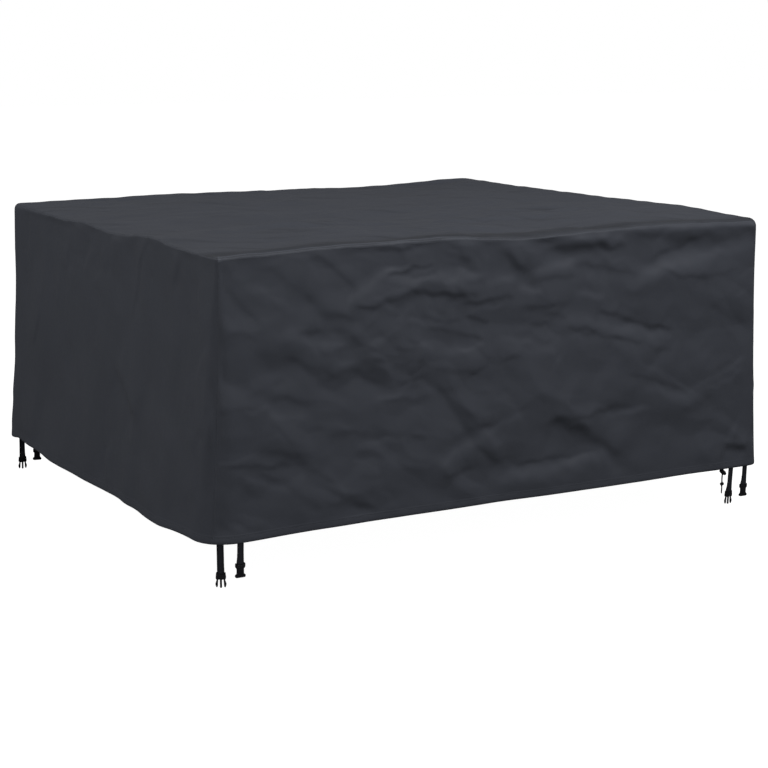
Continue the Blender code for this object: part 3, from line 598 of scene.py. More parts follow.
def flute_rise(row, u, h):
    fall = h / HEIGHT
    middle = row.u_rim + (row.u_hem - row.u_rim) * fall
    growth = FLUTE_AT_RIM + (1 - FLUTE_AT_RIM) * fall
    return row.height * growth * np.exp(-(((u - middle) / row.half_width) ** 2))


def folds(wall, u, h, share):
    """A wall's large folds, with that share of its creases."""
    rise = share * sum(crease_rise(row, u, h) for row in in_metres(Crease, CREASES[wall]))
    rise += sum(swell_rise(row, u, h) for row in in_metres(Swell, SWELLS[wall]))
    return rise + sum(flute_rise(row, u, h) for row in in_metres(Flute, FLUTES[wall]))


# The finer creases, seen on the cover one by one. Each row is a short stroke from (u0, h0) to (u1, h1) and
# its width, in millimetres, and how steep it is: above zero it faces down and looks dark, below zero it
# faces up and looks light.
STROKES = {
    "front": (
        (311, 31, 416, 108, 18, 1.1), (300, 10, 395, 85, 40, -0.4), (422, 139, 512, 89, 22, -1.4),
        (160, 43, 279, 128, 26, 0.5), (279, 133, 359, 195, 34, 0.8), (328, 184, 416, 205, 20, 0.7),
        (36, 82, 116, 175, 20, 0.6), (94, 92, 194, 137, 34, -0.5), (142, 28, 196, 21, 14, -0.5),
        (531, 91, 583, 86, 10, 2.2), (602, 74, 661, 70, 9, 1.6), (615, 105, 665, 92, 9, 1.5),
        (660, 110, 930, 120, 34, -0.9), (429, 173, 479, 174, 11, 1.6), (502, 164, 596, 152, 14, 1.2),
        (629, 146, 749, 169, 14, 2.4), (783, 192, 865, 181, 12, 1.6), (893, 172, 934, 172, 11, 1.3),
        (505, 8, 576, 22, 17, 1.9), (765, 65, 785, 65, 22, 0.8), (932, 55, 961, 80, 22, 0.8),
        (279, 221, 378, 238, 20, 1.0), (217, 232, 378, 275, 34, -0.9), (241, 301, 346, 350, 24, 1.0),
        (422, 273, 473, 317, 40, 1.0), (327, 295, 416, 281, 18, 0.5), (557, 302, 623, 311, 16, 1.0),
        (492, 330, 564, 326, 16, 0.6), (557, 217, 596, 186, 14, -0.8), (505, 266, 557, 242, 16, -0.7),
        (649, 219, 689, 228, 13, 1.0), (722, 239, 763, 243, 14, 0.8), (689, 257, 825, 286, 15, 1.0),
        (629, 300, 812, 344, 45, -1.0), (839, 328, 874, 349, 16, 0.6), (717, 378, 827, 395, 17, 0.8),
        (584, 403, 637, 391, 17, 0.7), (643, 394, 731, 441, 18, 0.7), (460, 373, 512, 401, 22, 0.7),
        (531, 438, 677, 433, 20, -0.6), (119, 380, 192, 354, 24, 0.8), (185, 395, 283, 422, 22, 1.0),
        (12, 409, 35, 423, 14, 0.6), (16, 33, 36, 45, 28, 0.8), (876, 439, 919, 473, 24, -0.6),
        (1124, 41, 1263, 43, 30, 2.7), (1263, 52, 1330, 55, 20, 1.4), (1367, 19, 1459, 40, 40, 1.2),
        (1575, 48, 1880, 44, 42, 1.1), (1477, 96, 1601, 59, 16, 1.0), (1440, 146, 1795, 85, 45, -1.0),
        (1518, 154, 1654, 172, 18, 1.0), (1654, 172, 1758, 163, 18, 0.6),
        (1715, 275, 1825, 326, 34, 0.7), (918, 48, 996, 103, 34, 1.0), (1032, 105, 1139, 86, 34, -1.3),
        (1176, 94, 1379, 144, 24, 1.0), (1032, 126, 1148, 129, 14, 0.8),
        (1201, 186, 1257, 199, 28, -1.2), (980, 143, 1033, 157, 20, -1.2),
        (1005, 201, 1113, 211, 22, 0.8), (1078, 236, 1136, 247, 11, 0.7),
        (992, 247, 1043, 265, 22, 0.7), (1284, 250, 1376, 282, 14, 1.6),
        (1408, 297, 1525, 326, 14, 1.5), (1180, 257, 1471, 340, 34, -0.8),
        (1181, 287, 1332, 331, 15, 0.9), (1332, 334, 1418, 360, 11, 1.2),
        (1465, 377, 1528, 392, 17, 0.8), (1318, 360, 1413, 431, 34, 0.5),
        (1414, 460, 1581, 515, 14, 0.8), (1459, 436, 1622, 522, 17, -0.8),
        (1478, 507, 1607, 553, 34, -1.1), (846, 291, 1007, 285, 20, 0.3),
        (951, 324, 1095, 346, 24, -0.5), (1137, 561, 1363, 549, 30, 0.8),
        (1341, 571, 1449, 567, 22, -0.9), (1655, 532, 1816, 464, 22, -0.8),
        (106, 428, 148, 419, 14, -0.8), (178, 447, 270, 458, 34, -0.7), (172, 458, 239, 524, 16, 1.0),
        (165, 544, 275, 571, 24, 0.9), (269, 573, 287, 616, 18, 0.7), (86, 573, 225, 588, 15, 1.3),
        (164, 605, 231, 637, 20, 0.8), (3, 568, 116, 549, 10, -0.8), (345, 492, 415, 508, 22, -0.7),
        (383, 524, 512, 545, 28, 0.7), (531, 449, 637, 464, 12, 0.7), (538, 438, 670, 447, 16, -0.5),
        (460, 586, 525, 597, 20, 0.7), (486, 561, 577, 568, 14, -0.8), (447, 610, 505, 612, 11, -0.7),
        (262, 675, 324, 724, 24, 1.0), (395, 722, 499, 744, 20, 1.1), (388, 675, 499, 725, 17, -0.9),
        (472, 657, 525, 670, 34, 0.5), (631, 560, 664, 569, 22, 0.7), (747, 651, 829, 607, 39, -1.2),
        (761, 695, 830, 686, 17, 1.2), (121, 611, 231, 665, 17, -0.7), (85, 623, 133, 658, 39, 0.7),
        (343, 763, 525, 769, 8, -0.7), (1144, 565, 1235, 606, 34, 1.8), (1235, 606, 1360, 687, 40, 1.4),
        (1174, 562, 1371, 553, 22, 0.5), (1044, 676, 1245, 676, 13, 1.3),
        (1093, 584, 1222, 655, 45, 0.5), (994, 713, 1283, 690, 45, -1.3),
        (1283, 690, 1378, 756, 40, -0.8), (872, 618, 929, 662, 22, 1.1), (871, 576, 921, 600, 34, -1.1),
        (829, 559, 906, 543, 17, 0.8), (899, 564, 984, 534, 28, -0.7), (1625, 593, 1721, 565, 22, 0.5),
        (1671, 547, 1817, 497, 22, -0.6), (1830, 728, 1877, 747, 26, 2.4),
        (1759, 660, 1793, 674, 22, 0.7), (1345, 701, 1449, 765, 50, 0.5), (1400, 40, 1560, 40, 46, 0.7),
        (535, 78, 588, 73, 9, -1.4), (60, 745, 110, 780, 7, 0.8), (75, 730, 135, 772, 7, -0.8),
        (100, 728, 165, 768, 8, 0.8), (125, 715, 195, 752, 8, -0.7),
    ),
    "right": (
        (300, 180, 460, 240, 20, 0.8), (520, 120, 700, 100, 16, 0.8), (740, 200, 920, 260, 26, -0.8),
        (950, 80, 1150, 130, 24, 0.7), (1220, 270, 1400, 220, 18, 0.8), (220, 400, 380, 460, 24, 0.7),
        (480, 560, 640, 520, 30, -0.8), (860, 600, 1050, 660, 22, 0.8), (1180, 550, 1360, 630, 28, 0.7),
    ),
    "back": (
        (240, 220, 400, 270, 20, 0.8), (480, 180, 660, 210, 26, -0.8), (800, 240, 980, 200, 18, 0.8),
        (1100, 300, 1280, 360, 22, 0.8), (1450, 180, 1620, 130, 20, 0.8), (300, 480, 460, 540, 24, 0.7),
        (720, 680, 900, 720, 26, -0.7), (1050, 520, 1220, 460, 30, -0.8),
        (1400, 620, 1600, 680, 20, 0.8), (140, 660, 280, 700, 18, 0.7),
    ),
    "left": (
        (1227, 3, 1157, 72, 14, -1.2), (1155, 94, 1108, 210, 14, -1.4), (1430, 41, 1409, 92, 25, -1.2),
        (291, 356, 244, 440, 14, -1.2), (741, 73, 714, 131, 26, 1.0), (837, 82, 855, 114, 26, 1.0),
        (548, 102, 544, 142, 26, -1.0), (1638, 348, 1642, 429, 10, -1.4),
        (1642, 436, 1631, 501, 18, 1.4), (1564, 514, 1591, 642, 35, -1.4),
        (921, 679, 909, 768, 22, 1.2), (1003, 430, 1114, 524, 45, 1.2), (1570, 92, 1581, 179, 26, 0.8),
        (1610, 257, 1557, 334, 26, 0.8), (174, 66, 143, 274, 16, 0.8), (66, 130, 45, 760, 9, 0.8),
        (44, 120, 26, 770, 9, -0.8),
    ),
}
STROKE_SLOPE = 0.24
STROKE_SPREAD = 0.50
# A stroke is a short step in the cloth, which eases back over this many times its half width. Past its ends
# it fades over a share of its half width and of its length.
STROKE_EASE = 5.0
STROKE_END = (0.6, 0.18)
# How far strokes are bent sideways and down, by waves of what lengths.
STROKE_BENDS = ((0.004, 0.09, 0.25), (0.003, 0.05, 0.20))
# Facets are the broad soft planes between creases, left over from the cover's folding: how steep they are
# on each wall, how wide and tall, and which ways their rows lean.
Facets = namedtuple("Facets", "slope wide tall leans")
FACETS = {
    "front": Facets(0.024, 0.110, 0.056, (8, -20, 20)), "right": Facets(0.036, 0.130, 0.062, (8, -28, 34)),
    "back": Facets(0.036, 0.125, 0.060, (15, -20, 42)), "left": Facets(0.010, 0.070, 0.130, (6, -14, 24)),
}
FACET_BLUR = 0.007
FACET_BEND = 0.18
FACET_GROWTH = 0.35
FACET_NET = 64
# Crumples are the small sharp creases among them, mostly in one patch of the wall: how many, how steep,
# how far they lean from level, where the patch is, and between what sizes their lengths and half widths are.
Crumples = namedtuple("Crumples", "count slope lean u h lengths halves")
SHORT = ((0.018, 0.095), (0.0045, 0.012))
CRUMPLES = {
    "front": Crumples(300, 0.195, 0.5, 0.72, 0.26, *SHORT),
    "right": Crumples(170, 0.110, 0.5, 0.75, 0.30, *SHORT),
    "back": Crumples(190, 0.110, 0.5, 1.10, 0.34, *SHORT),
    "left": Crumples(50, 0.030, 1.3, 0.60, 0.20, *SHORT),
}
CRUMPLE_PATCH = (0.46, 0.19)
# Away from the patch they keep this share of their depth.
CRUMPLE_AROUND = 0.22
CRUMPLE_SPREAD = (0.3, 1.6)
CRUMPLE_BENDS = ((0.006, 0.06, 0.20), (0.006, 0.06, 0.20))
CRUMPLE_SEED = 11


def ripple(seed, u, h, shortest, longest, count=14):
    """A smooth uneven field about 0 with a spread of 1, from waves that run in all directions."""
    rng = np.random.default_rng(seed)
    total = np.zeros_like(u)
    for _ in range(count):
        turn = rng.uniform(0, math.pi)
        wave = 2 * math.pi / math.exp(rng.uniform(math.log(shortest), math.log(longest)))
        total += np.cos((u * math.cos(turn) + h * math.sin(turn)) * wave + rng.uniform(0, 2 * math.pi))
    return total * math.sqrt(2 / count)


def bent(seeds, bends, u, h, count=14):
    """The place moved a little by uneven waves, so that a line drawn through it doesn't run straight."""
    return [
        place + bend * ripple(seed, u, h, shortest, longest, count)
        for place, seed, (bend, shortest, longest) in zip((u, h), seeds, bends)
    ]


def facets(seed, u, h, shape):
    """Broad planes with soft edges, from nets of triangles with uneven heights, one for each lean."""
    rng = np.random.default_rng(seed)
    rise = np.zeros_like(u)
    for k, lean in enumerate(shape.leans):
        heights = rng.normal(0, 1, (FACET_NET, FACET_NET))
        wide = shape.wide * (1 + FACET_GROWTH * k)
        tall = shape.tall * (1 + FACET_GROWTH * k)
        bends = [(FACET_BEND * size, 2 * tall, 5 * tall) for size in (wide, tall)]
        bent_u, bent_h = bent((seed + 40 + k, seed + 60 + k), bends, u, h, 8)
        turn = math.radians(lean)
        for du, dh in ((0, 0), (1, 0), (-1, 0), (0, 1), (0, -1)):
            x = bent_u + du * FACET_BLUR
            y = bent_h + dh * FACET_BLUR
            across = (x * math.cos(turn) + y * math.sin(turn)) / wide + 20
            down = (y * math.cos(turn) - x * math.sin(turn)) / tall + 30
            i, j = np.floor(across).astype(int), np.floor(down).astype(int)
            fx, fy = across - i, down - j
            (i, i_next), (j, j_next) = ((n % FACET_NET, (n + 1) % FACET_NET) for n in (i, j))
            corner, far = heights[i, j], heights[i_next, j_next]
            side = np.where(fx > fy, heights[i_next, j], heights[i, j_next])
            more, less = np.maximum(fx, fy), np.minimum(fx, fy)
            height = corner + (side - corner) * more + (far - side) * less
            rise += shape.slope * tall * height / 5
    return rise


def step_rise(u0, h0, u1, h1, half, slope, u, h):
    """A short step across a line: the cloth above it stands out, the cloth below it falls back."""
    du = u1 - u0
    dh = h1 - h0
    length = math.hypot(du, dh)
    along = ((u - u0) * du + (h - h0) * dh) / length
    past = np.maximum(np.maximum(-along, along - length), 0) / (STROKE_END[0] * half + STROKE_END[1] * length)
    below = ((h - h0) * du - (u - u0) * dh) / length / half
    return -slope * half * np.tanh(below) * np.exp(-np.abs(below) / STROKE_EASE - past**2)


def with_strokes(rise, rows, u, h):
    """The rise with all the strokes of a table laid over it."""
    for *sizes, steep in rows:
        u0, h0, u1, h1, width = (size / 1000 for size in sizes)
        rise = rise + step_rise(u0, h0, u1, h1, width * STROKE_SPREAD, steep * STROKE_SLOPE, u, h)
    return rise


def strokes(wall, u, h):
    """The finer creases of a wall, bent a little so that none runs straight."""
    seed = CRUMPLE_SEED + WALLS.index(wall)
    return with_strokes(np.zeros_like(u), STROKES[wall], *bent((seed + 20, seed + 30), STROKE_BENDS, u, h))


def crumple(seed, u, h, row):
    """Short soft creases at random, most of them near level and deepest in the patch."""
    rng = np.random.default_rng(seed)
    bent_u, bent_h = bent((seed + 1, seed + 2), CRUMPLE_BENDS, u, h)
    rise = np.zeros_like(u)
    for _ in range(row.count):
        u0 = rng.uniform(u.min(), u.max())
        h0 = rng.uniform(h.min(), h.max())
        away = ((u0 - row.u) / CRUMPLE_PATCH[0]) ** 2 + ((h0 - row.h) / CRUMPLE_PATCH[1]) ** 2
        turn = rng.normal(0, row.lean)
        length = rng.uniform(*row.lengths)
        half = rng.uniform(*row.halves)
        steep = row.slope * rng.choice((-1, 1)) * rng.uniform(*CRUMPLE_SPREAD)
        steep = steep * (CRUMPLE_AROUND + (1 - CRUMPLE_AROUND) * math.exp(-away))
        u1 = u0 + length * math.cos(turn)
        h1 = h0 + length * math.sin(turn)
        reach = length / 2 + 7 * half
        near = (np.abs(bent_u - (u0 + u1) / 2) < reach) & (np.abs(bent_h - (h0 + h1) / 2) < reach)
        rise[near] += step_rise(u0, h0, u1, h1, half, steep, bent_u[near], bent_h[near])
    return rise


FINE_SEAM_REACH = 0.018
FINE_RIM_REACH = 0.022
FINE_HEM_REACH = 0.060
FINE_AT_HEM = 0.3
# The seams draw the cloth in, less at the corners than along the rim.
SEAM_TUCK = 0.0002
CORNER_TUCK = 0.3
CORNER_TUCK_REACH = 0.0025
RIM_TUCK = 0.8
RIM_TUCK_REACH = 0.0035
# The corner seams stand out as ridges near the rim, most where the corner is tightest.
SEAM_RIDGE = 0.000016
SEAM_RIDGE_REACH = 0.007
HEM_STITCH = 0.0205
STITCH_SINK = 0.0005
STITCH_REACH = 0.003
# Along the left of the front rim the cloth swells over the seam's turnings, and flattens towards the right.
RIM_SWELL = 0.0012
RIM_SWELL_LEVEL = -1.45
RIM_SWELL_SPREAD = 0.45
RIM_SWELL_LAST = 1.15
RIM_SWELL_FADE = 0.5
HEM_CURL = 0.0022
HEM_CURL_REACH = 0.006


def wall_surface(wall, s, r):
    """A wall's outer face, its outward direction, and (u, h) on the flat cloth. r runs from 0, where the
    rim's roll ends, to 1 at the hem's edge. From 0 it runs up through -1, the seam of top and wall, to -2."""
    s, r = np.broadcast_arrays(np.asarray(s, dtype=float), np.asarray(r, dtype=float))
    fall = np.clip(r, 0, None)
    turn = (HALF_CORNER * np.clip(-r, 0, None))[..., None]
    point, out, a, run = plan_point(wall, s, fall)
    up = np.array((0.0, 0.0, 1.0))
    rim = rim_height(wall, s)
    roll = rim_row(wall, s, 2)
    point = point - out * roll[..., None] * (1 - np.cos(turn))
    hem = -HEIGHT + hem_row(wall, s, 1)
    rolled = rim - roll * (1 - np.sin(turn[..., 0]))
    point[..., 2] = np.where(r <= 0, rolled, rim - roll + (hem - rim + roll) * fall)
    drop = rim - point[..., 2]
    u = ((point - a) * run).sum(-1)
    edge = from_seam(wall, s, fall)
    large = folds(wall, u, drop, CREASE_SHARE) * smooth((drop - roll) / RIM_REACH)
    large = large + hem_row(wall, s, 2) * fall**3
    seed = CRUMPLE_SEED + WALLS.index(wall)
    fine = strokes(wall, u, drop) + crumple(seed, u, drop, CRUMPLES[wall])
    fine += facets(seed + 3, u, drop, FACETS[wall])
    from_hem = (1 - fall) * HEIGHT
    fine *= smooth((drop - 0.3 * roll) / FINE_RIM_REACH) * smooth(edge / FINE_SEAM_REACH)
    fine *= FINE_AT_HEM + (1 - FINE_AT_HEM) * smooth(from_hem / FINE_HEM_REACH)
    tuck = CORNER_TUCK * np.exp(-((edge / CORNER_TUCK_REACH) ** 2))
    tuck = SEAM_TUCK * (tuck + RIM_TUCK * np.exp(-(((r + 1) * roll / RIM_TUCK_REACH) ** 2)))
    tuck += STITCH_SINK * np.exp(-(((from_hem - HEM_STITCH) / STITCH_REACH) ** 2)) * (r > 0)
    direction = out * np.cos(turn) + up * np.sin(turn)
    corner_radius = np.where(s < 0.5, *(CORNERS[name].rim_radius for name in ends(wall)))
    ridge = SEAM_RIDGE / corner_radius * np.exp(-edge / SEAM_RIDGE_REACH)
    ridge = ridge * (1 - fall) ** 1.5 * smooth((r + 2) / 0.9)
    curl = HEM_CURL * np.clip(1 - from_hem / HEM_CURL_REACH, 0, 1) ** 2 * (r > 0)
    move = large * smooth(edge / SEAM_REACH) * (r > 0) + fine + ridge - tuck - curl
    if wall == "front":
        swell = RIM_SWELL * np.exp(-(((r - RIM_SWELL_LEVEL) / RIM_SWELL_SPREAD) ** 2))
        move = move + swell * smooth((RIM_SWELL_LAST - u) / RIM_SWELL_FADE)
    return point + direction * move[..., None], direction, u, drop


def cloth_mesh(name, points, faces, flat, thickness):
    """A closed thin sheet: the outer face as given, and an inner one that far under it at each point."""
    outer = bpy.data.meshes.new(name)
    outer.from_pydata(points, [], faces)
    normals = np.empty(len(points) * 3)
    outer.vertices.foreach_get("normal", normals)
    inner = points - normals.reshape(-1, 3) * thickness[:, None]
    bpy.data.meshes.remove(outer)
    count = len(points)
    pairs = np.concatenate([faces[:, (k, (k + 1) % 4)] for k in range(4)])
    keys = pairs[:, 0].astype(np.int64) * count + pairs[:, 1]
    back_keys = pairs[:, 1].astype(np.int64) * count + pairs[:, 0]
    border = pairs[~np.isin(keys, back_keys)]
    band = np.stack((border[:, 1], border[:, 0], border[:, 0] + count, border[:, 1] + count), -1)
    shell = np.concatenate((faces, faces[:, ::-1] + count, band))
    mesh = bpy.data.meshes.new(name)
    mesh.from_pydata(np.concatenate((points, inner)), [], shell)
    uv = mesh.uv_layers.new(name="cloth")
    both = np.concatenate((flat, flat))[shell.reshape(-1)]
    uv.data.foreach_set("uv", both.reshape(-1))
    # The narrow band along the edges is flat, so that it doesn't shade the faces beside it.
    mesh.polygons.foreach_set("use_smooth", np.arange(len(shell)) < len(shell) - len(band))
    return mesh


CLOTH_DARK = (0.0297, 0.0327, 0.0414)
CLOTH_LIGHT = (0.0424, 0.0464, 0.0578)
# A plain weave with about 14 threads a centimetre each way, drawn two by two.
WEAVE_PITCH = 0.0014
THREAD_TURN = 2 * math.pi / WEAVE_PITCH


class ClothLook:
    """The cover's cloth as a skin, with the parts of its look that a piece may add to."""

    def __init__(self, name):
        self.skin = Skin(name, roughness=0.70, specular=0.22)
        flat = self.skin.place("UV")
        self.across, self.down = self.skin.parts(flat)
        self.weave = (self.across * THREAD_TURN).sine() * (self.down * THREAD_TURN).sine()
        self.handled = self.skin.noise(flat, 26, 6.0, 0.58)
        self.creased = self.skin.noise(self.skin.stretched(flat, (11, 22, 11), 0.35), 1.0, 3.0, 0.5)
        faded = self.skin.noise(flat, 3.2, 3.0)
        dusty = self.skin.noise(flat, 190, 2.0)
        self.tone = faded * 0.55 + self.handled * 0.25 + dusty * 0.20

    def finish(self, tone, dark=CLOTH_DARK):
        normal = self.skin.bump(self.weave, 0.00005, 0.5)
        normal = self.skin.bump(self.creased, 0.0022, 0.14, normal)
        self.skin.ends_in(
            Base_Color=self.skin.shades(tone, dark, CLOTH_LIGHT),
            Roughness=self.handled * 0.16 + 0.60,
            Normal=normal,
        )
        return self.skin


wall_look = ClothLook("cover_weave")
cloth_skin = wall_look.finish(wall_look.tone)

# Each wall's mesh: steps round half a corner, steps down the rim's roll, spans along its straight run, and
# rows down to the hem. The hem's own levels are in metres above its bottom edge.
ARC_STEPS = 9
ARC_EASE = 1.6
ROLL_STEPS = 7
ROLL_EASE = 1.3
ROWS_END = 0.004
HEM_LEVELS = (0.0262, 0.0250, 0.0232, 0.0218, 0.0205, 0.0192, 0.0178, 0.0120, 0.0060, 0.0022, 0.0008, 0.0)
WALL_SPANS = {"front": 296, "right": 186, "back": 210, "left": 200}
WALL_ROWS = {"front": 134, "right": 88, "back": 88, "left": 92}
HEM_FOLD = 0.0016
HEM_STEP = 0.0016
HEM_STEP_START = 0.0006


def wall_columns(wall):
    """Where a wall's upright lines run from seam to seam, close together next to the seams."""
    arc = -1 + (np.arange(ARC_STEPS) / ARC_STEPS) ** ARC_EASE
    run = np.linspace(0, 1, WALL_SPANS[wall] + 1)
    return np.concatenate((arc, run, 1 - arc[::-1]))


def wall_rows(wall):
    """The levels of a wall, close together on the rim's roll and round the hem's stitches."""
    roll = -1 + (np.arange(ROLL_STEPS) / ROLL_STEPS) ** ROLL_EASE
    plain = np.linspace(0, HEM_TOP - ROWS_END, WALL_ROWS[wall])
    return np.concatenate((roll, plain, 1 - np.array(HEM_LEVELS) / HEIGHT))


for wall in WALLS:
    across = wall_columns(wall)
    down = wall_rows(wall)
    points, outwards, u, drop = wall_surface(wall, across[None, :], down[:, None])
    from_hem = (1 - down) * HEIGHT
    hem_share = smooth((HEM_HEIGHT + HEM_STEP_START - from_hem) / HEM_STEP)
    rounded = np.sqrt(np.clip(1 - (1 - np.clip(from_hem / HEM_FOLD, 0, 1)) ** 2, 0.04, 1))
    extra = (HEM_CLOTH - CLOTH) * hem_share
    thickness = (CLOTH + extra) * rounded
    lift = extra / 2 - (HEM_CLOTH / 2) * (1 - rounded) * hem_share
    points = points + outwards * lift[:, None, None]
    wide = len(across)
    index = np.arange(points.shape[0] * wide).reshape(-1, wide)
    faces = np.stack((index[:-1, :-1], index[1:, :-1], index[1:, 1:], index[:-1, 1:]), -1).reshape(-1, 4)
    flat = np.stack((u, drop), -1).reshape(-1, 2)
    name = f"{wall}_cloth"
    mesh = cloth_mesh(name, points.reshape(-1, 3), faces, flat, np.repeat(thickness, wide))
    panel = add_piece(name, mesh, cloth_skin)
    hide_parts(f"{wall}_panel")

# ---------------------------------------------------------------- top
# One piece of the same cloth, level with the rim all round. It rolls over the edge to its seam with the
# walls. Faint creases from its packing run across it, with faint dark lines of painted shade among them.
TOP_SWELLS = (
    (-450, -350, 300, 200, 4), (300, -480, 340, 160, 3), (520, 220, 260, 260, 4),
    (-300, 400, 360, 180, 4), (-680, 100, 160, 300, -3), (100, -660, 400, 60, -3),
    (0, 0, 450, 350, -2.5),
)
RIM_EASE = 4
RIM_BLEND = 0.012
BEAD_DIP = 0.0012
DIP_PLACE = 0.024
DIP_SPREAD = 0.013
DIP_LAST = 0.35
DIP_FADE = 0.6
TOP_SPANS = {"front": 196, "right": 176, "back": 196, "left": 176}
TOP_ARC = 3
TOP_ROLL = (-1.85, -1.7, -1.5, -1.3, -1.15, -1.07, -1.0)
TOP_FACETS = Facets(0.022, 0.200, 0.090, (20, -30, 70))
TOP_CRUMPLES = Crumples(170, 0.420, 0.22, -0.30, -0.45, (0.12, 0.50), (0.007, 0.022))
# Each row is a crease on the top from (x0, y0) to (x1, y1) and its width, in millimetres, and its steepness.
TOP_STROKES = (
    (-880, -815, 150, -812, 22, -0.74), (-800, -780, -300, -770, 26, 0.47),
    (-895, -600, -893, -100, 22, 0.61), (-600, -520, -50, -400, 30, 0.41),
    (100, -600, 620, -660, 34, 0.41), (-200, -100, 550, -20, 36, -0.41),
    (-720, 50, -200, 220, 30, 0.38), (200, 300, 780, 220, 34, 0.41), (-500, 550, 200, 620, 34, -0.41),
    (350, -300, 820, -380, 28, 0.41),
)


def top_height(p, q, x, y):
    """The top's outer face at shares p and q of its width and depth, level with the rim all round."""
    sides = (
        ("front", p, (1 - q) ** RIM_EASE), ("back", 1 - p, q**RIM_EASE),
        ("right", q, p**RIM_EASE), ("left", 1 - q, (1 - p) ** RIM_EASE),
    )
    zero, one = np.float64(0), np.float64(1)
    ahead = rim_height("front", zero) * (1 - p) + rim_height("front", one) * p
    behind = rim_height("back", one) * (1 - p) + rim_height("back", zero) * p
    height = ahead * (1 - q) + behind * q
    for wall, s, weight in sides:
        plain = rim_height(wall, zero) * (1 - s) + rim_height(wall, one) * s
        height = height + (rim_height(wall, s) - plain) * weight
    nearest = np.minimum(np.minimum(p, 1 - p), np.minimum(q, 1 - q))
    height = height + smooth(8 * nearest) * sum(swell_rise(row, x, y) for row in in_metres(Swell, TOP_SWELLS))
    fine = crumple(CRUMPLE_SEED + 7, x, y, TOP_CRUMPLES) + facets(CRUMPLE_SEED + 8, x, y, TOP_FACETS)
    fine = with_strokes(fine, TOP_STROKES, x, y)
    # Behind the front rim's bead the cloth dips.
    behind_bead = (y + DEPTH / 2 - DIP_PLACE) / DIP_SPREAD
    dip = BEAD_DIP * np.exp(-(behind_bead**2)) * smooth((DIP_LAST - x) / DIP_FADE) * smooth(12 * p)
    return height + fine * smooth(nearest / RIM_BLEND) - dip


arc = np.arange(TOP_ARC) / TOP_ARC - 1
edge_columns = {
    wall: np.concatenate((arc, np.linspace(0, 1, spans + 1), 1 - arc[::-1]))
    for wall, spans in TOP_SPANS.items()
}
front_edge, right_edge, back_edge, left_edge = (
    wall_surface(wall, columns, -2.0)[0] for wall, columns in edge_columns.items()
)
back_edge, left_edge = back_edge[::-1], left_edge[::-1]
wide = len(front_edge)
deep = len(right_edge)
i_share = np.linspace(0, 1, wide)[None, :, None]
j_share = np.linspace(0, 1, deep)[:, None, None]
field = front_edge[None] * (1 - j_share) + back_edge[None] * j_share
field = field + left_edge[:, None] * (1 - i_share) + right_edge[:, None] * i_share
near = front_edge[0] * (1 - i_share) + front_edge[-1] * i_share
far = back_edge[0] * (1 - i_share) + back_edge[-1] * i_share
field = field - near * (1 - j_share) - far * j_share
p, q = np.broadcast_arrays(
    np.clip(edge_columns["front"], 0, 1)[None, :], np.clip(edge_columns["right"], 0, 1)[:, None]
)
field[..., 2] = top_height(p, q, field[..., 0], field[..., 1])
index = np.arange(wide * deep).reshape(deep, wide)
top_points = [field.reshape(-1, 3)]
top_flat = [field[..., :2].reshape(-1, 2)]
top_faces = [np.stack((index[:-1, :-1], index[:-1, 1:], index[1:, 1:], index[1:, :-1]), -1).reshape(-1, 4)]
# Rings go down the roll from the field's own edge to the seam.
ring = np.concatenate((index[0, :-1], index[:-1, -1], index[-1, :0:-1], index[:0:-1, 0]))
count = wide * deep
above = top_points[0][ring]
run = np.zeros(len(ring))
flat_edge = top_flat[0][ring]
flat_out = unit(np.concatenate([
    plan_point(wall, columns[:-1], np.zeros(len(columns) - 1))[1] for wall, columns in edge_columns.items()
]))[:, :2]
for r in TOP_ROLL:
    level = np.concatenate([wall_surface(wall, columns[:-1], r)[0] for wall, columns in edge_columns.items()])
    run = run + np.linalg.norm(level - above, axis=-1)
    below = count + np.arange(len(level))
    top_points.append(level)
    top_flat.append(flat_edge + flat_out * run[:, None])
    top_faces.append(np.stack((below, np.roll(below, -1), np.roll(ring, -1), ring), -1))
    above, ring, count = level, below, count + len(level)
top_points = np.concatenate(top_points)
mesh = cloth_mesh("top_cloth", top_points, np.concatenate(top_faces), np.concatenate(top_flat),
                  np.full(len(top_points), CLOTH))
# Painted shade: a dark band is painted on the top just behind its front edge, where the rim's bead would
# shade it. On the right the painted band comes forward over the rim.
BAND_PLACE = 0.056
BAND_REACH = 0.042
BAND_FORWARD = 0.034
SHADE_BAND_DEPTH = 0.56
top_look = ClothLook("top_weave")
comes_forward = top_look.across.math("MAXIMUM", 0.0) * BAND_FORWARD
behind_edge = (top_look.down + comes_forward + (DEPTH / 2 - BAND_PLACE)) * (1 / BAND_REACH)
painted_shade_band = (behind_edge * behind_edge * -1).math("EXPONENT")
# Faint dark lines of painted shade run across the top, slanting forward to the right, standing in for
# the shade of shallow folds.
STREAK_TURN = math.radians(30)
STREAK_SCALE = (2.4, 17, 1)
STREAK_START = 0.54
STREAK_STRENGTH = 1.9
flat = top_look.skin.place("UV")
slanting = top_look.skin.stretched(top_look.skin.stretched(flat, (1, 1, 1), STREAK_TURN), STREAK_SCALE)
fold_shade_lines = top_look.skin.noise(slanting, 1.0, 3.0, 0.5) - STREAK_START
fold_shade_lines = (fold_shade_lines * STREAK_STRENGTH).math("MAXIMUM", 0.0)
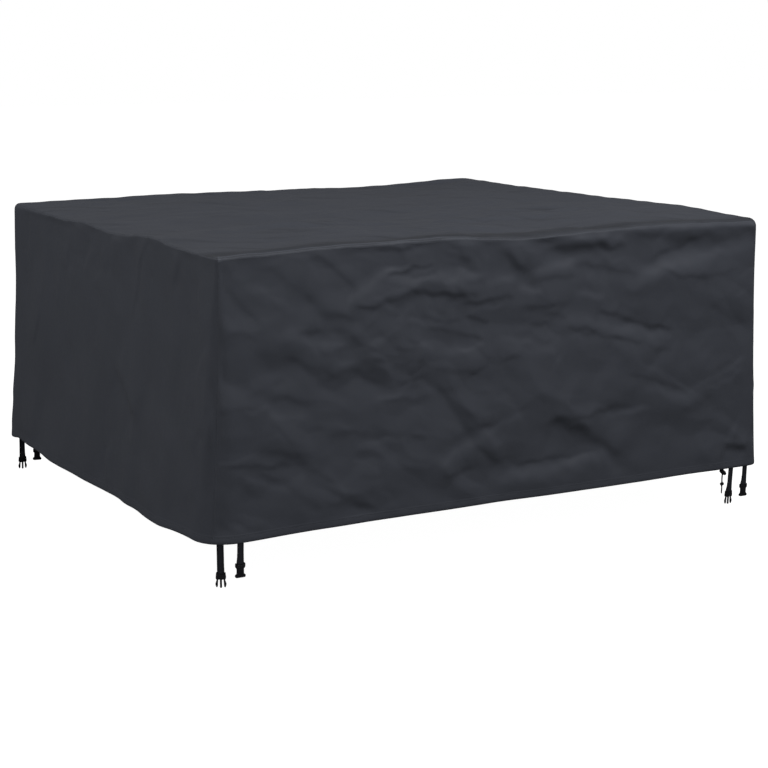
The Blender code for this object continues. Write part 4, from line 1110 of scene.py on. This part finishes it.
# Painted light: the top is made a little lighter towards the back and the right, for its sheen at a
# grazing view. Its dark stop lies deeper than the walls' so that the painted shade reaches darker.
TOP_SHADED_DARK = tuple(0.60 * part for part in CLOTH_DARK)
TOP_TONE = 0.400
UNEVEN_TONE = 0.516
PAINTED_LIGHT_RIGHT = 0.08
PAINTED_LIGHT_BACK = 0.10
top_tone_and_painted_light = top_look.tone * UNEVEN_TONE + top_look.across * PAINTED_LIGHT_RIGHT + top_look.down * PAINTED_LIGHT_BACK + TOP_TONE
top_tone_and_painted_light = top_tone_and_painted_light - painted_shade_band * SHADE_BAND_DEPTH - fold_shade_lines
top_cloth = add_piece("top_cloth", mesh, top_look.finish(top_tone_and_painted_light, TOP_SHADED_DARK))
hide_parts("top_panel")

# ---------------------------------------------------------------- stitching
# Lockstitch in polyester thread a shade lighter than the cloth: one row along the hem, one under the rim
# and one beside each corner seam. A stitch is a short bead of thread half sunk in the cloth.
STITCH_PITCH = 0.0046
STITCH_LENGTH = 0.0034
THREAD = 0.00042
SEAM_ALLOWANCE = 0.0042
STITCH_SIZES = (0.88, 1.08)
STITCH_SEED = 5
THREAD_PROUD = 0.4

thread_skin = Skin("thread", roughness=0.62, specular=0.35)
thread_fuzz = thread_skin.noise(thread_skin.place("Object"), 900, 2.0)
thread_skin.ends_in(
    Base_Color=thread_skin.shades(thread_fuzz, (0.040, 0.044, 0.053), (0.074, 0.079, 0.093)),
    Normal=thread_skin.bump(thread_fuzz, 0.0002),
)


def stitch_tree():
    """Beads of thread at even steps along the edges of a mesh."""
    tree = bpy.data.node_groups.new("stitch_row", "GeometryNodeTree")
    tree.interface.new_socket("Geometry", in_out="INPUT", socket_type="NodeSocketGeometry")
    for name, size in (("Pitch", STITCH_PITCH), ("Stitch Length", STITCH_LENGTH), ("Thread", THREAD)):
        socket = tree.interface.new_socket(name, in_out="INPUT", socket_type="NodeSocketFloat")
        socket.default_value = size
    tree.interface.new_socket("Geometry", in_out="OUTPUT", socket_type="NodeSocketGeometry")

    def add(kind, settings, inputs):
        made = tree.nodes.new(kind)
        for setting, value in settings.items():
            setattr(made, setting, value)
        for name, value in inputs.items():
            if isinstance(value, bpy.types.NodeSocket):
                tree.links.new(value, made.inputs[name])
            else:
                made.inputs[name].default_value = value
        return made

    given = add("NodeGroupInput", {}, {}).outputs
    line = add("GeometryNodeMeshToCurve", {}, {"Mesh": given["Geometry"]}).outputs[0]
    spots = add("GeometryNodeCurveToPoints", {"mode": "LENGTH"}, {"Curve": line, "Length": given["Pitch"]})
    half = add("ShaderNodeMath", {"operation": "MULTIPLY"}, {0: given["Stitch Length"], 1: 0.5}).outputs[0]
    size = add("ShaderNodeCombineXYZ", {}, {0: given["Thread"], 1: given["Thread"], 2: half}).outputs[0]
    ball = add("GeometryNodeMeshIcoSphere", {}, {"Radius": 1.0, "Subdivisions": 1}).outputs[0]
    bead = add("GeometryNodeTransform", {}, {"Geometry": ball, "Scale": size}).outputs[0]
    chance = add("FunctionNodeRandomValue", {"data_type": "FLOAT"}, {})
    floats = [socket for socket in chance.inputs if socket.type == "VALUE" and socket.enabled]
    for socket, size in zip(floats, STITCH_SIZES):
        socket.default_value = size
    chance.inputs["Seed"].default_value = STITCH_SEED
    uneven = [socket for socket in chance.outputs if socket.enabled][0]
    placed = add("GeometryNodeInstanceOnPoints", {}, {
        "Points": spots.outputs["Points"], "Instance": bead, "Rotation": spots.outputs["Rotation"],
        "Scale": uneven,
    }).outputs[0]
    real = add("GeometryNodeRealizeInstances", {}, {"Geometry": placed}).outputs[0]
    soft = add("GeometryNodeSetShadeSmooth", {}, {"Geometry": real}).outputs[0]
    dyed = add("GeometryNodeSetMaterial", {}, {"Geometry": soft, "Material": thread_skin.material}).outputs[0]
    add("NodeGroupOutput", {}, {0: dyed})
    return tree


stitches = stitch_tree()


def sewn(name, lines, pitch=STITCH_PITCH):
    """One piece with a row of stitches along each of the lines of points."""
    points = []
    edges = []
    for line in lines:
        first = len(points)
        points += [tuple(point) for point in line]
        edges += [(first + i, first + i + 1) for i in range(len(line) - 1)]
    guide = bpy.data.meshes.new(name)
    guide.from_pydata(points, edges, [])
    seam = in_scene(name, guide)
    change = seam.modifiers.new("stitches", "NODES")
    change.node_group = stitches
    pitch_input = next(item for item in stitches.interface.items_tree if item.name == "Pitch")
    change[pitch_input.identifier] = pitch
    mesh = bpy.data.meshes.new_from_object(seam.evaluated_get(bpy.context.evaluated_depsgraph_get()))
    bpy.data.objects.remove(seam, do_unlink=True)
    mesh.name = name
    piece = add_piece(name, mesh, thread_skin)
    return piece


# Along the left of the front rim the seam's turnings stand up as a round bead that catches the light. It
# sinks into the cloth towards the right.
BEAD_RISE = 0.0017
BEAD_GROWTH = 0.0025
BEAD_PROUD = 0.0003
BEAD_SINK = 0.0018
BEAD_FULL = 0.34
BEAD_END = 0.70
bead_skin = Skin("rim_bead", roughness=0.66, specular=0.20)
# Its colour varies at random and is lighter than the cloth's, partly a painted highlight; its left end is
# painted much lighter still, a painted highlight on the bead's tip.
bead_wear_and_highlight = bead_skin.noise(bead_skin.place("Object"), 60, 4.0)
bead_tip_highlight = (bead_skin.parts(bead_skin.place("Object"))[0] + WIDTH / 2) * 100
bead_tip_highlight = (bead_tip_highlight * bead_tip_highlight * -1).math("EXPONENT")
bead_tone = bead_wear_and_highlight * 0.3 + bead_tip_highlight * 0.8
bead_skin.ends_in(
    Base_Color=bead_skin.shades(bead_tone, (0.0345, 0.0378, 0.0470), (0.085, 0.092, 0.110)),
    Normal=bead_skin.bump(bead_skin.noise(bead_skin.place("Object"), 700, 2.0), 0.0002),
)
along = np.concatenate((np.linspace(-0.98, 0, 10)[:-1], np.linspace(0, BEAD_END, 160)))
points, outwards = wall_surface("front", along, 0.0)[:2]
sunk = smooth((along - BEAD_FULL) / (BEAD_END - BEAD_FULL))
roll = rim_row("front", along, 2)
inset = roll + BEAD_GROWTH * (1 - sunk)
radii = inset + BEAD_PROUD - BEAD_SINK * sunk
middles = points - outwards * inset[:, None]
middles[:, 2] += (BEAD_RISE - BEAD_GROWTH) * (1 - sunk) - BEAD_SINK * sunk / 2
line = [Vector(spot) for spot in middles]
first = (line[0] - line[1]).normalized()
line = [line[0] + first * radii[0] * 0.6, *line]
radii = [radii[0] * 0.55, *radii]
rim_bead = add_piece("front_rim_bead", tube_mesh("front_rim_bead", line, radii, 24), bead_skin)

hem_lines = []
rim_lines = []
corner_lines = []
for wall in WALLS:
    along = np.concatenate(
        (np.linspace(-0.97, 0, 12)[:-1], np.linspace(0, 1, 260), np.linspace(1, 1.97, 12)[1:])
    )
    level = 1 - HEM_STITCH / HEIGHT
    points, outwards = wall_surface(wall, along, level)[:2]
    hem_lines.append(points + outwards * ((HEM_CLOTH - CLOTH) / 2 + THREAD * THREAD_PROUD))
    roll = rim_row(wall, along, 2)
    points, outwards = wall_surface(wall, along, -1 + SEAM_ALLOWANCE / (roll * HALF_CORNER))[:2]
    rim_lines.append(points + outwards * THREAD * THREAD_PROUD)
    down = np.concatenate((np.linspace(-0.9, 0, 6)[:-1], np.linspace(0, 0.985, 120)))
    reach = plan_radius(ends(wall)[0], np.clip(down, 0, None)) * HALF_CORNER
    points, outwards = wall_surface(wall, -1 + SEAM_ALLOWANCE / reach, down)[:2]
    corner_lines.append(points + outwards * THREAD * THREAD_PROUD)
sewn("hem_stitches", hem_lines)
sewn("rim_stitches", rim_lines)
sewn("corner_stitches", corner_lines)

# ---------------------------------------------------------------- straps
# Eight lengths of black 20 mm polypropylene webbing, two at each bottom corner. Each is sewn inside the
# hem, hangs down, turns round its buckle's bar and ends in a short tail behind itself.
Strap = namedtuple("Strap", "place kind wall corner offset hang lean")
STRAPS = (
    Strap("front_left", "male", "front", "front_left", 0.046, 0.081, 0.0),
    Strap("front_left", "female", "front", "front_left", 0.103, 0.058, 0.6),
    Strap("front_right", "male", "front", "front_right", 0.116, 0.077, 2.5),
    Strap("front_right", "female", "front", "front_right", 0.057, 0.061, 0.8),
    Strap("back_right", "male", "back", "back_right", 0.110, 0.077, -1.0),
    Strap("back_right", "female", "back", "back_right", 0.048, 0.057, 0.5),
    Strap("back_left", "male", "back", "back_left", 0.044, 0.084, -1.5),
    Strap("back_left", "female", "back", "back_left", 0.100, 0.062, -3.0),
)
WEBBING_WIDTH = 0.020
WEBBING = 0.0016
TAB_HEIGHT = 0.022
BAR = 0.0013
BAR_PLAY = 0.0003
WRAP = BAR * math.sqrt(2) + BAR_PLAY + WEBBING / 2
TAIL_LENGTH = 0.028
TAIL_GAP = WEBBING * 1.1
TAIL_CLOSING = 1.25
SAG = 0.0007
HANG_STEP = 0.008
SELVEDGE = 0.0010
SELVEDGE_ROUND = 0.0003
SELVEDGE_SHARE = 0.62
BAND_SHARE = 0.82
BAND_SPOTS = (-0.78, -0.45, -0.12, 0.12, 0.45, 0.78)
# The box of stitches that holds a strap to the hem.
BOX_MARGIN = 0.0020
BOX_LOW = 0.004
BOX_HIGH = 0.0190
BOX_PROUD = 0.3
BOX_PITCH = 0.0030
WEBBING_SHARPEST = 60


def strap_place(row):
    """The strap's own axes at the hem's bottom edge: X to the right seen from outside, Y inwards, Z up."""
    s = np.linspace(-1, 2, 6001)
    point, out, a, run = plan_point(row.wall, s, np.ones_like(s))
    reach = np.abs(((point - plan_corner(row.corner, 1.0)) * run).sum(-1))
    order = np.argsort(reach)
    here = np.atleast_1d(np.interp(row.offset, reach[order], s[order]))
    point, out, a, run = plan_point(row.wall, here, np.ones(1))
    hem = -HEIGHT + hem_row(row.wall, here, 1)
    drop = RIM_THICKNESS + rim_row(row.wall, here, 1) - hem
    u = ((point - a) * run).sum(-1)
    edge = from_seam(row.wall, here, np.ones(1))
    move = (folds(row.wall, u, drop, 1.0) + hem_row(row.wall, here, 2)) * smooth(edge / SEAM_REACH)
    seat = Vector((point + out * move[:, None])[0])
    seat.z = hem[0]
    inwards = -Vector(out[0])
    up = Vector((0, 0, 1))
    turned = Matrix((inwards.cross(up), inwards, up)).transposed().to_4x4()
    return Matrix.Translation(seat) @ turned @ Matrix.Rotation(math.radians(row.lean), 4, "Y")


def webbing_section():
    """Half across to half across and back: a flat band with rounded, slightly thicker edges."""
    half = WEBBING_WIDTH / 2
    thick = WEBBING / 2
    edge = SELVEDGE_SHARE * thick
    upper = [(-half, 0.0), (-half + SELVEDGE_ROUND, edge), (-half + SELVEDGE, thick)]
    upper += [(x * half, thick * BAND_SHARE) for x in BAND_SPOTS]
    upper += [(half - SELVEDGE, thick), (half - SELVEDGE_ROUND, edge), (half, 0.0)]
    return upper + [(x, -z) for x, z in reversed(upper[1:-1])]


def webbing_mesh(name, path):
    """The band that follows a side view of (inwards, up), with (across, along) in metres as its UV map."""
    section = webbing_section()
    points = []
    flat = []
    for point, ahead, run in line_steps(smooth_line([(0, y, z) for y, z in path], per_span=3)):
        side = Vector((0, -ahead.z, ahead.y))
        for x, lift in section:
            points.append(point + Vector((x, 0, 0)) + side * lift)
            flat.append((x, run))
    mesh = swept_mesh(name, points, flat, len(section))
    mesh.set_sharp_from_angle(angle=math.radians(WEBBING_SHARPEST))
    return mesh


webbing_skin = Skin("webbing_weave", roughness=0.80, specular=0.18)
rib_across, rib_along = webbing_skin.parts(webbing_skin.place("UV"))
# The ribs run slanting from the middle to both edges, over fine lengthwise yarns.
RIB_PITCH = 0.0024
YARN_PITCH = 0.0010
RIB_TURN = 2 * math.pi / RIB_PITCH
YARN_TURN = 2 * math.pi / YARN_PITCH
rib = (rib_along * RIB_TURN + rib_across.size() * RIB_TURN * 1.6).sine()
yarn = (rib_across * YARN_TURN).sine()
rib_height = rib * 0.7 + yarn * 0.3
# Painted highlight: the webbing is painted lighter along its middle and darker towards both edges, for the
# light on its rounded face.
middle = rib_across.size() * (-1 / (WEBBING_WIDTH / 2)) + 1.0
webbing_tone_and_highlight = rib_height * 0.16 + middle * 0.62 + 0.12
webbing_skin.ends_in(
    Base_Color=webbing_skin.shades(webbing_tone_and_highlight, (0.0025, 0.0025, 0.0034), (0.0160, 0.0172, 0.0232)),
    Normal=webbing_skin.bump(rib_height, 0.00022, 0.8),
)

strap_places = {}
box_lines = []
for row in STRAPS:
    name = f"{row.place}_{row.kind}_strap"
    place = strap_place(row)
    back = place.inverted()
    solid = np.array([tuple(back @ vertex.co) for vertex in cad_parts[name].data.vertices])
    seats = [solid[np.abs(solid[:, 2] - level) < 0.0009][:, 1].min() for level in (TAB_HEIGHT, 0.0)]
    tab, fall = (seat + WEBBING / 2 for seat in seats)
    path = [(tab, TAB_HEIGHT), (tab * 0.5 + fall * 0.5, TAB_HEIGHT / 2), (fall, 0.0)]
    steps = int(row.hang / HANG_STEP)
    for i in range(1, steps):
        share = i / steps
        path.append((fall + SAG * math.sin(math.pi * share), -row.hang * share))
    for i in range(9):
        turn = math.pi * i / 8
        path.append((fall + WRAP * (1 - math.cos(turn)), -row.hang - WRAP * math.sin(turn)))
    for i in range(1, 7):
        share = i / 6
        gap = (2 * WRAP - TAIL_GAP) * (1 - smooth(share * TAIL_CLOSING)) + TAIL_GAP
        path.append((fall + gap, -row.hang + TAIL_LENGTH * share))
    mesh = webbing_mesh(f"{name}_web", path)
    mesh.transform(place)
    strap = add_piece(f"{name}_web", mesh, webbing_skin)
    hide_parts(name)
    strap_places[row] = place @ Matrix.Translation((0, fall + WRAP, -row.hang))
    half = WEBBING_WIDTH / 2 - BOX_MARGIN
    box = [(-half, BOX_LOW), (half, BOX_LOW), (half, BOX_HIGH), (-half, BOX_HIGH), (-half, BOX_LOW)]
    inside = tab + WEBBING / 2 + THREAD * BOX_PROUD
    box_lines.append([place @ Vector((x, inside + (fall - tab) * (1 - z / TAB_HEIGHT), z)) for x, z in box])
sewn("strap_stitches", box_lines, BOX_PITCH)

# ---------------------------------------------------------------- buckles
# Side-release buckles moulded in black plastic: the male half has a bar for the webbing, a middle guide and
# two sprung arms, and the female half is a hollow sleeve with a window in each side and a wide mouth.
BUCKLE_DEPTH = 0.0068
MOULD_EDGE = 0.0007
FINE_EDGE = 0.0003
WELD = 0.000002
# A corner takes up no more than this share of either side.
CORNER_SHARE = 0.48
BUCKLE_SHARPEST = 38
# Outlines in millimetres about the middle of the bar, from the left of the slot round to its right:
# sideways, up, and how far the corner is rounded. The left half mirrors the right.
MALE_BODY = (
    (10.5, -3.8, 0.8), (10.5, 1.3, 0.8), (12.9, 1.8, 1.4), (13.2, -3.0, 3.0), (14.0, -10.0, 3.5),
    (14.2, -15.5, 2.5), (12.2, -18.6, 2.4),
)
GUIDE = ((3.0, -16.0, 0.3), (2.8, -36.0, 2.0), (3.2, -39.5, 1.8), (2.2, -42.8, 2.0))
ARM = (
    (7.4, -16.2, 0.3), (7.7, -24.0, 2.0), (8.2, -30.0, 2.0), (8.2, -36.0, 2.5), (10.2, -41.4, 1.6),
    (12.6, -41.0, 1.6), (15.0, -35.0, 2.5), (15.3, -29.5, 1.8), (13.8, -25.5, 2.5), (12.2, -21.5, 2.0),
    (11.9, -16.2, 0.3),
)
FEMALE_BODY = (
    (10.6, -4.0, 0.8), (10.6, 1.3, 0.8), (14.3, 1.3, 1.8), (14.6, -8.0, 2.6), (13.2, -12.2, 2.2),
    (10.3, -13.8, 1.6), (10.1, -22.0, 6.0), (10.4, -29.6, 2.4), (14.6, -31.6, 2.2), (15.4, -35.5, 2.8),
    (14.2, -39.6, 2.0), (9.0, -40.0, 2.0),
)
FEMALE_CORE = ((10.6, -4.0, 0.5), (10.6, 1.0, 0.5), (14.0, 1.0, 1.0), (14.0, -9.0, 2.0), (9.9, -13.7, 1.0))
FEMALE_CHEEK = (
    (8.0, -28.3, 0.6), (8.0, -39.2, 0.4), (13.8, -39.2, 1.6), (14.9, -35.5, 2.4), (14.2, -31.8, 2.0),
    (10.2, -28.3, 1.0),
)
# The bar for the webbing and the female half's window: half the width, the low and high side, the rounding.
BUCKLE_BAR = (11.4, -1.25, 1.25, 0.6)
WINDOW = (6.6, -36.8, -15.6, 2.4)
WINDOW_PROUD = 0.0007
BAR_DEPTH = 0.0025
ARM_DEPTH = 0.0034
SLEEVE_WALL = 0.0019
# Grip ribs across each body, at these heights.
MALE_RIBS = (-8.6, -11.1, -13.6)
FEMALE_RIBS = (-7.4, -10.4)


def rounded(outline):
    """The outline in metres with its corners eased."""
    line = []
    for i, (x, z, reach) in enumerate(outline):
        corner = Vector((x, z))
        before = Vector(outline[i - 1][:2]) - corner
        after = Vector(outline[(i + 1) % len(outline)][:2]) - corner
        start = corner + before.normalized() * min(reach, before.length * CORNER_SHARE)
        finish = corner + after.normalized() * min(reach, after.length * CORNER_SHARE)
        for t in (0.0, 0.25, 0.5, 0.75, 1.0):
            line.append((start * (1 - t) ** 2 + corner * 2 * t * (1 - t) + finish * t**2) / 1000)
    return line


def mirrored(outline):
    return [(-x, z, reach) for x, z, reach in reversed(outline)]


def both_sides(half):
    return [*half, *mirrored(half)]


def bar_of(half_width, low, high, reach):
    return [(x, z, reach) for x, z in (
        (-half_width, low), (half_width, low), (half_width, high), (-half_width, high),
    )]


def moulded(outline, depth, level=0.0, edge=MOULD_EDGE):
    """A slab of that depth from an outline in X and Z, with rounded edges, that far inwards."""
    curve = bpy.data.curves.new("slab", "CURVE")
    curve.dimensions = "2D"
    curve.fill_mode = "BOTH"
    curve.offset = -edge
    curve.extrude = depth / 2 - edge
    curve.bevel_depth = edge
    curve.bevel_resolution = 2
    line = rounded(outline)
    spline = curve.splines.new("POLY")
    spline.points.add(len(line) - 1)
    spline.use_cyclic_u = True
    for point, (x, z) in zip(spline.points, line):
        point.co = (x, z, 0, 1)
    slab = in_scene("slab", curve)
    mesh = bpy.data.meshes.new_from_object(slab.evaluated_get(bpy.context.evaluated_depsgraph_get()))
    bpy.data.objects.remove(slab, do_unlink=True)
    shell = bmesh.new()
    shell.from_mesh(mesh)
    bmesh.ops.remove_doubles(shell, verts=shell.verts, dist=WELD)
    bmesh.ops.recalc_face_normals(shell, faces=shell.faces)
    shell.to_mesh(mesh)
    shell.free()
    mesh.transform(Matrix.Translation((0, level, 0)) @ Matrix.Rotation(math.radians(90), 4, "X"))
    return mesh


def ribs(heights, half_width, half_height, reach, proud, edge):
    return [
        moulded(bar_of(half_width, height - half_height, height + half_height, reach), BUCKLE_DEPTH + proud,
                edge=edge)
        for height in heights
    ]


def male_parts():
    parts = [moulded(both_sides(MALE_BODY), BUCKLE_DEPTH), moulded(bar_of(*BUCKLE_BAR), BAR_DEPTH)]
    parts += [moulded(outline, ARM_DEPTH) for outline in (both_sides(GUIDE), ARM, mirrored(ARM))]
    return parts + ribs(MALE_RIBS, half_width=7.8, half_height=0.5, reach=0.5, proud=0.0008, edge=FINE_EDGE)


def female_parts():
    inner = BUCKLE_DEPTH - SLEEVE_WALL
    parts = [moulded(both_sides(FEMALE_BODY), SLEEVE_WALL, level) for level in (inner / 2, -(inner / 2))]
    parts += [
        moulded(outline, inner, edge=FINE_EDGE)
        for outline in (both_sides(FEMALE_CORE), FEMALE_CHEEK, mirrored(FEMALE_CHEEK))
    ]
    parts.append(moulded(bar_of(*BUCKLE_BAR), BAR_DEPTH))
    parts.append(moulded(bar_of(*WINDOW), BUCKLE_DEPTH + WINDOW_PROUD, edge=FINE_EDGE))
    return parts + ribs(FEMALE_RIBS, half_width=11.6, half_height=0.7, reach=0.6, proud=0.0012, edge=0.0004)


buckle_parts = {"male": male_parts(), "female": female_parts()}
for row in STRAPS:
    name = f"{row.place}_{row.kind}_buckle"
    mesh = joined_mesh(f"{name}_moulding", buckle_parts[row.kind], BUCKLE_SHARPEST)
    mesh.transform(strap_places[row])
    buckle = add_piece(f"{name}_moulding", mesh, plastic_skin)
    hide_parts(name)

# ---------------------------------------------------------------- floor and light
# A plain pale floor that the camera sees as white paper, a broad light overhead and towards the front,
# and a weak even light all round.
FLOOR_LEVEL = -0.955
FLOOR_SIZE = 60


def stage_skin(name, seen, seen_glow, unseen):
    """Paper that glows softly to the camera and is a plain grey to everything else."""
    made = bpy.data.materials.new(name)
    made.use_nodes = True
    tree = made.node_tree
    tree.nodes.remove(tree.nodes["Principled BSDF"])
    shades = []
    for color in (unseen, seen):
        paper = tree.nodes.new("ShaderNodeBsdfDiffuse")
        paper.inputs["Color"].default_value = (color, color, color, 1)
        shades.append(paper.outputs[0])
    glow = tree.nodes.new("ShaderNodeEmission")
    glow.inputs["Strength"].default_value = seen_glow
    lit = tree.nodes.new("ShaderNodeAddShader")
    tree.links.new(shades[1], lit.inputs[0])
    tree.links.new(glow.outputs[0], lit.inputs[1])
    rays = tree.nodes.new("ShaderNodeLightPath")
    mix = tree.nodes.new("ShaderNodeMixShader")
    tree.links.new(rays.outputs["Is Camera Ray"], mix.inputs[0])
    tree.links.new(shades[0], mix.inputs[1])
    tree.links.new(lit.outputs[0], mix.inputs[2])
    tree.links.new(mix.outputs[0], tree.nodes["Material Output"].inputs["Surface"])
    return made


floor_mesh = bpy.data.meshes.new("floor")
half = FLOOR_SIZE / 2
floor_mesh.from_pydata([(-half, -half, FLOOR_LEVEL), (half, -half, FLOOR_LEVEL), (half, half, FLOOR_LEVEL),
                        (-half, half, FLOOR_LEVEL)], [], [(0, 1, 2, 3)])
floor_mesh.materials.append(stage_skin("pale_floor", seen=0.20, seen_glow=0.99, unseen=0.22))
floor = in_scene("floor", floor_mesh)

# Each lamp: where it stands, what it points at, its size and its power.
LAMPS = {
    "overhead_front": ((1.0, -2.8, 3.4), (0.0, 0.0, -0.1), 2.6, 194),
    "overhead_left": ((-3.6, 0.8, 2.8), (0.0, 0.0, -0.2), 2.6, 95),
    "front_fill": ((-4.2, -4.6, 1.2), (0.0, 0.0, -0.4), 3.0, 70),
}
for name, (place, target, size, power) in LAMPS.items():
    lamp = bpy.data.lights.new(name, "AREA")
    lamp.size = size
    lamp.energy = power
    stand = in_scene(name, lamp)
    stand.location = place
    stand.rotation_euler = (Vector(target) - Vector(place)).to_track_quat("-Z", "Y").to_euler()
    stand.visible_camera = False

SKY_SEEN = 1.0
SKY_LIGHT = 0.23
world = bpy.data.worlds.new("studio")
bpy.context.scene.world = world
world.use_nodes = True
sky = world.node_tree.nodes["Background"]
sky.inputs["Color"].default_value = (1, 1, 1, 1)
rays = world.node_tree.nodes.new("ShaderNodeLightPath")
level = world.node_tree.nodes.new("ShaderNodeMix")
level.inputs[2].default_value = SKY_LIGHT
level.inputs[3].default_value = SKY_SEEN
world.node_tree.links.new(rays.outputs["Is Camera Ray"], level.inputs[0])
world.node_tree.links.new(level.outputs[0], sky.inputs["Strength"])
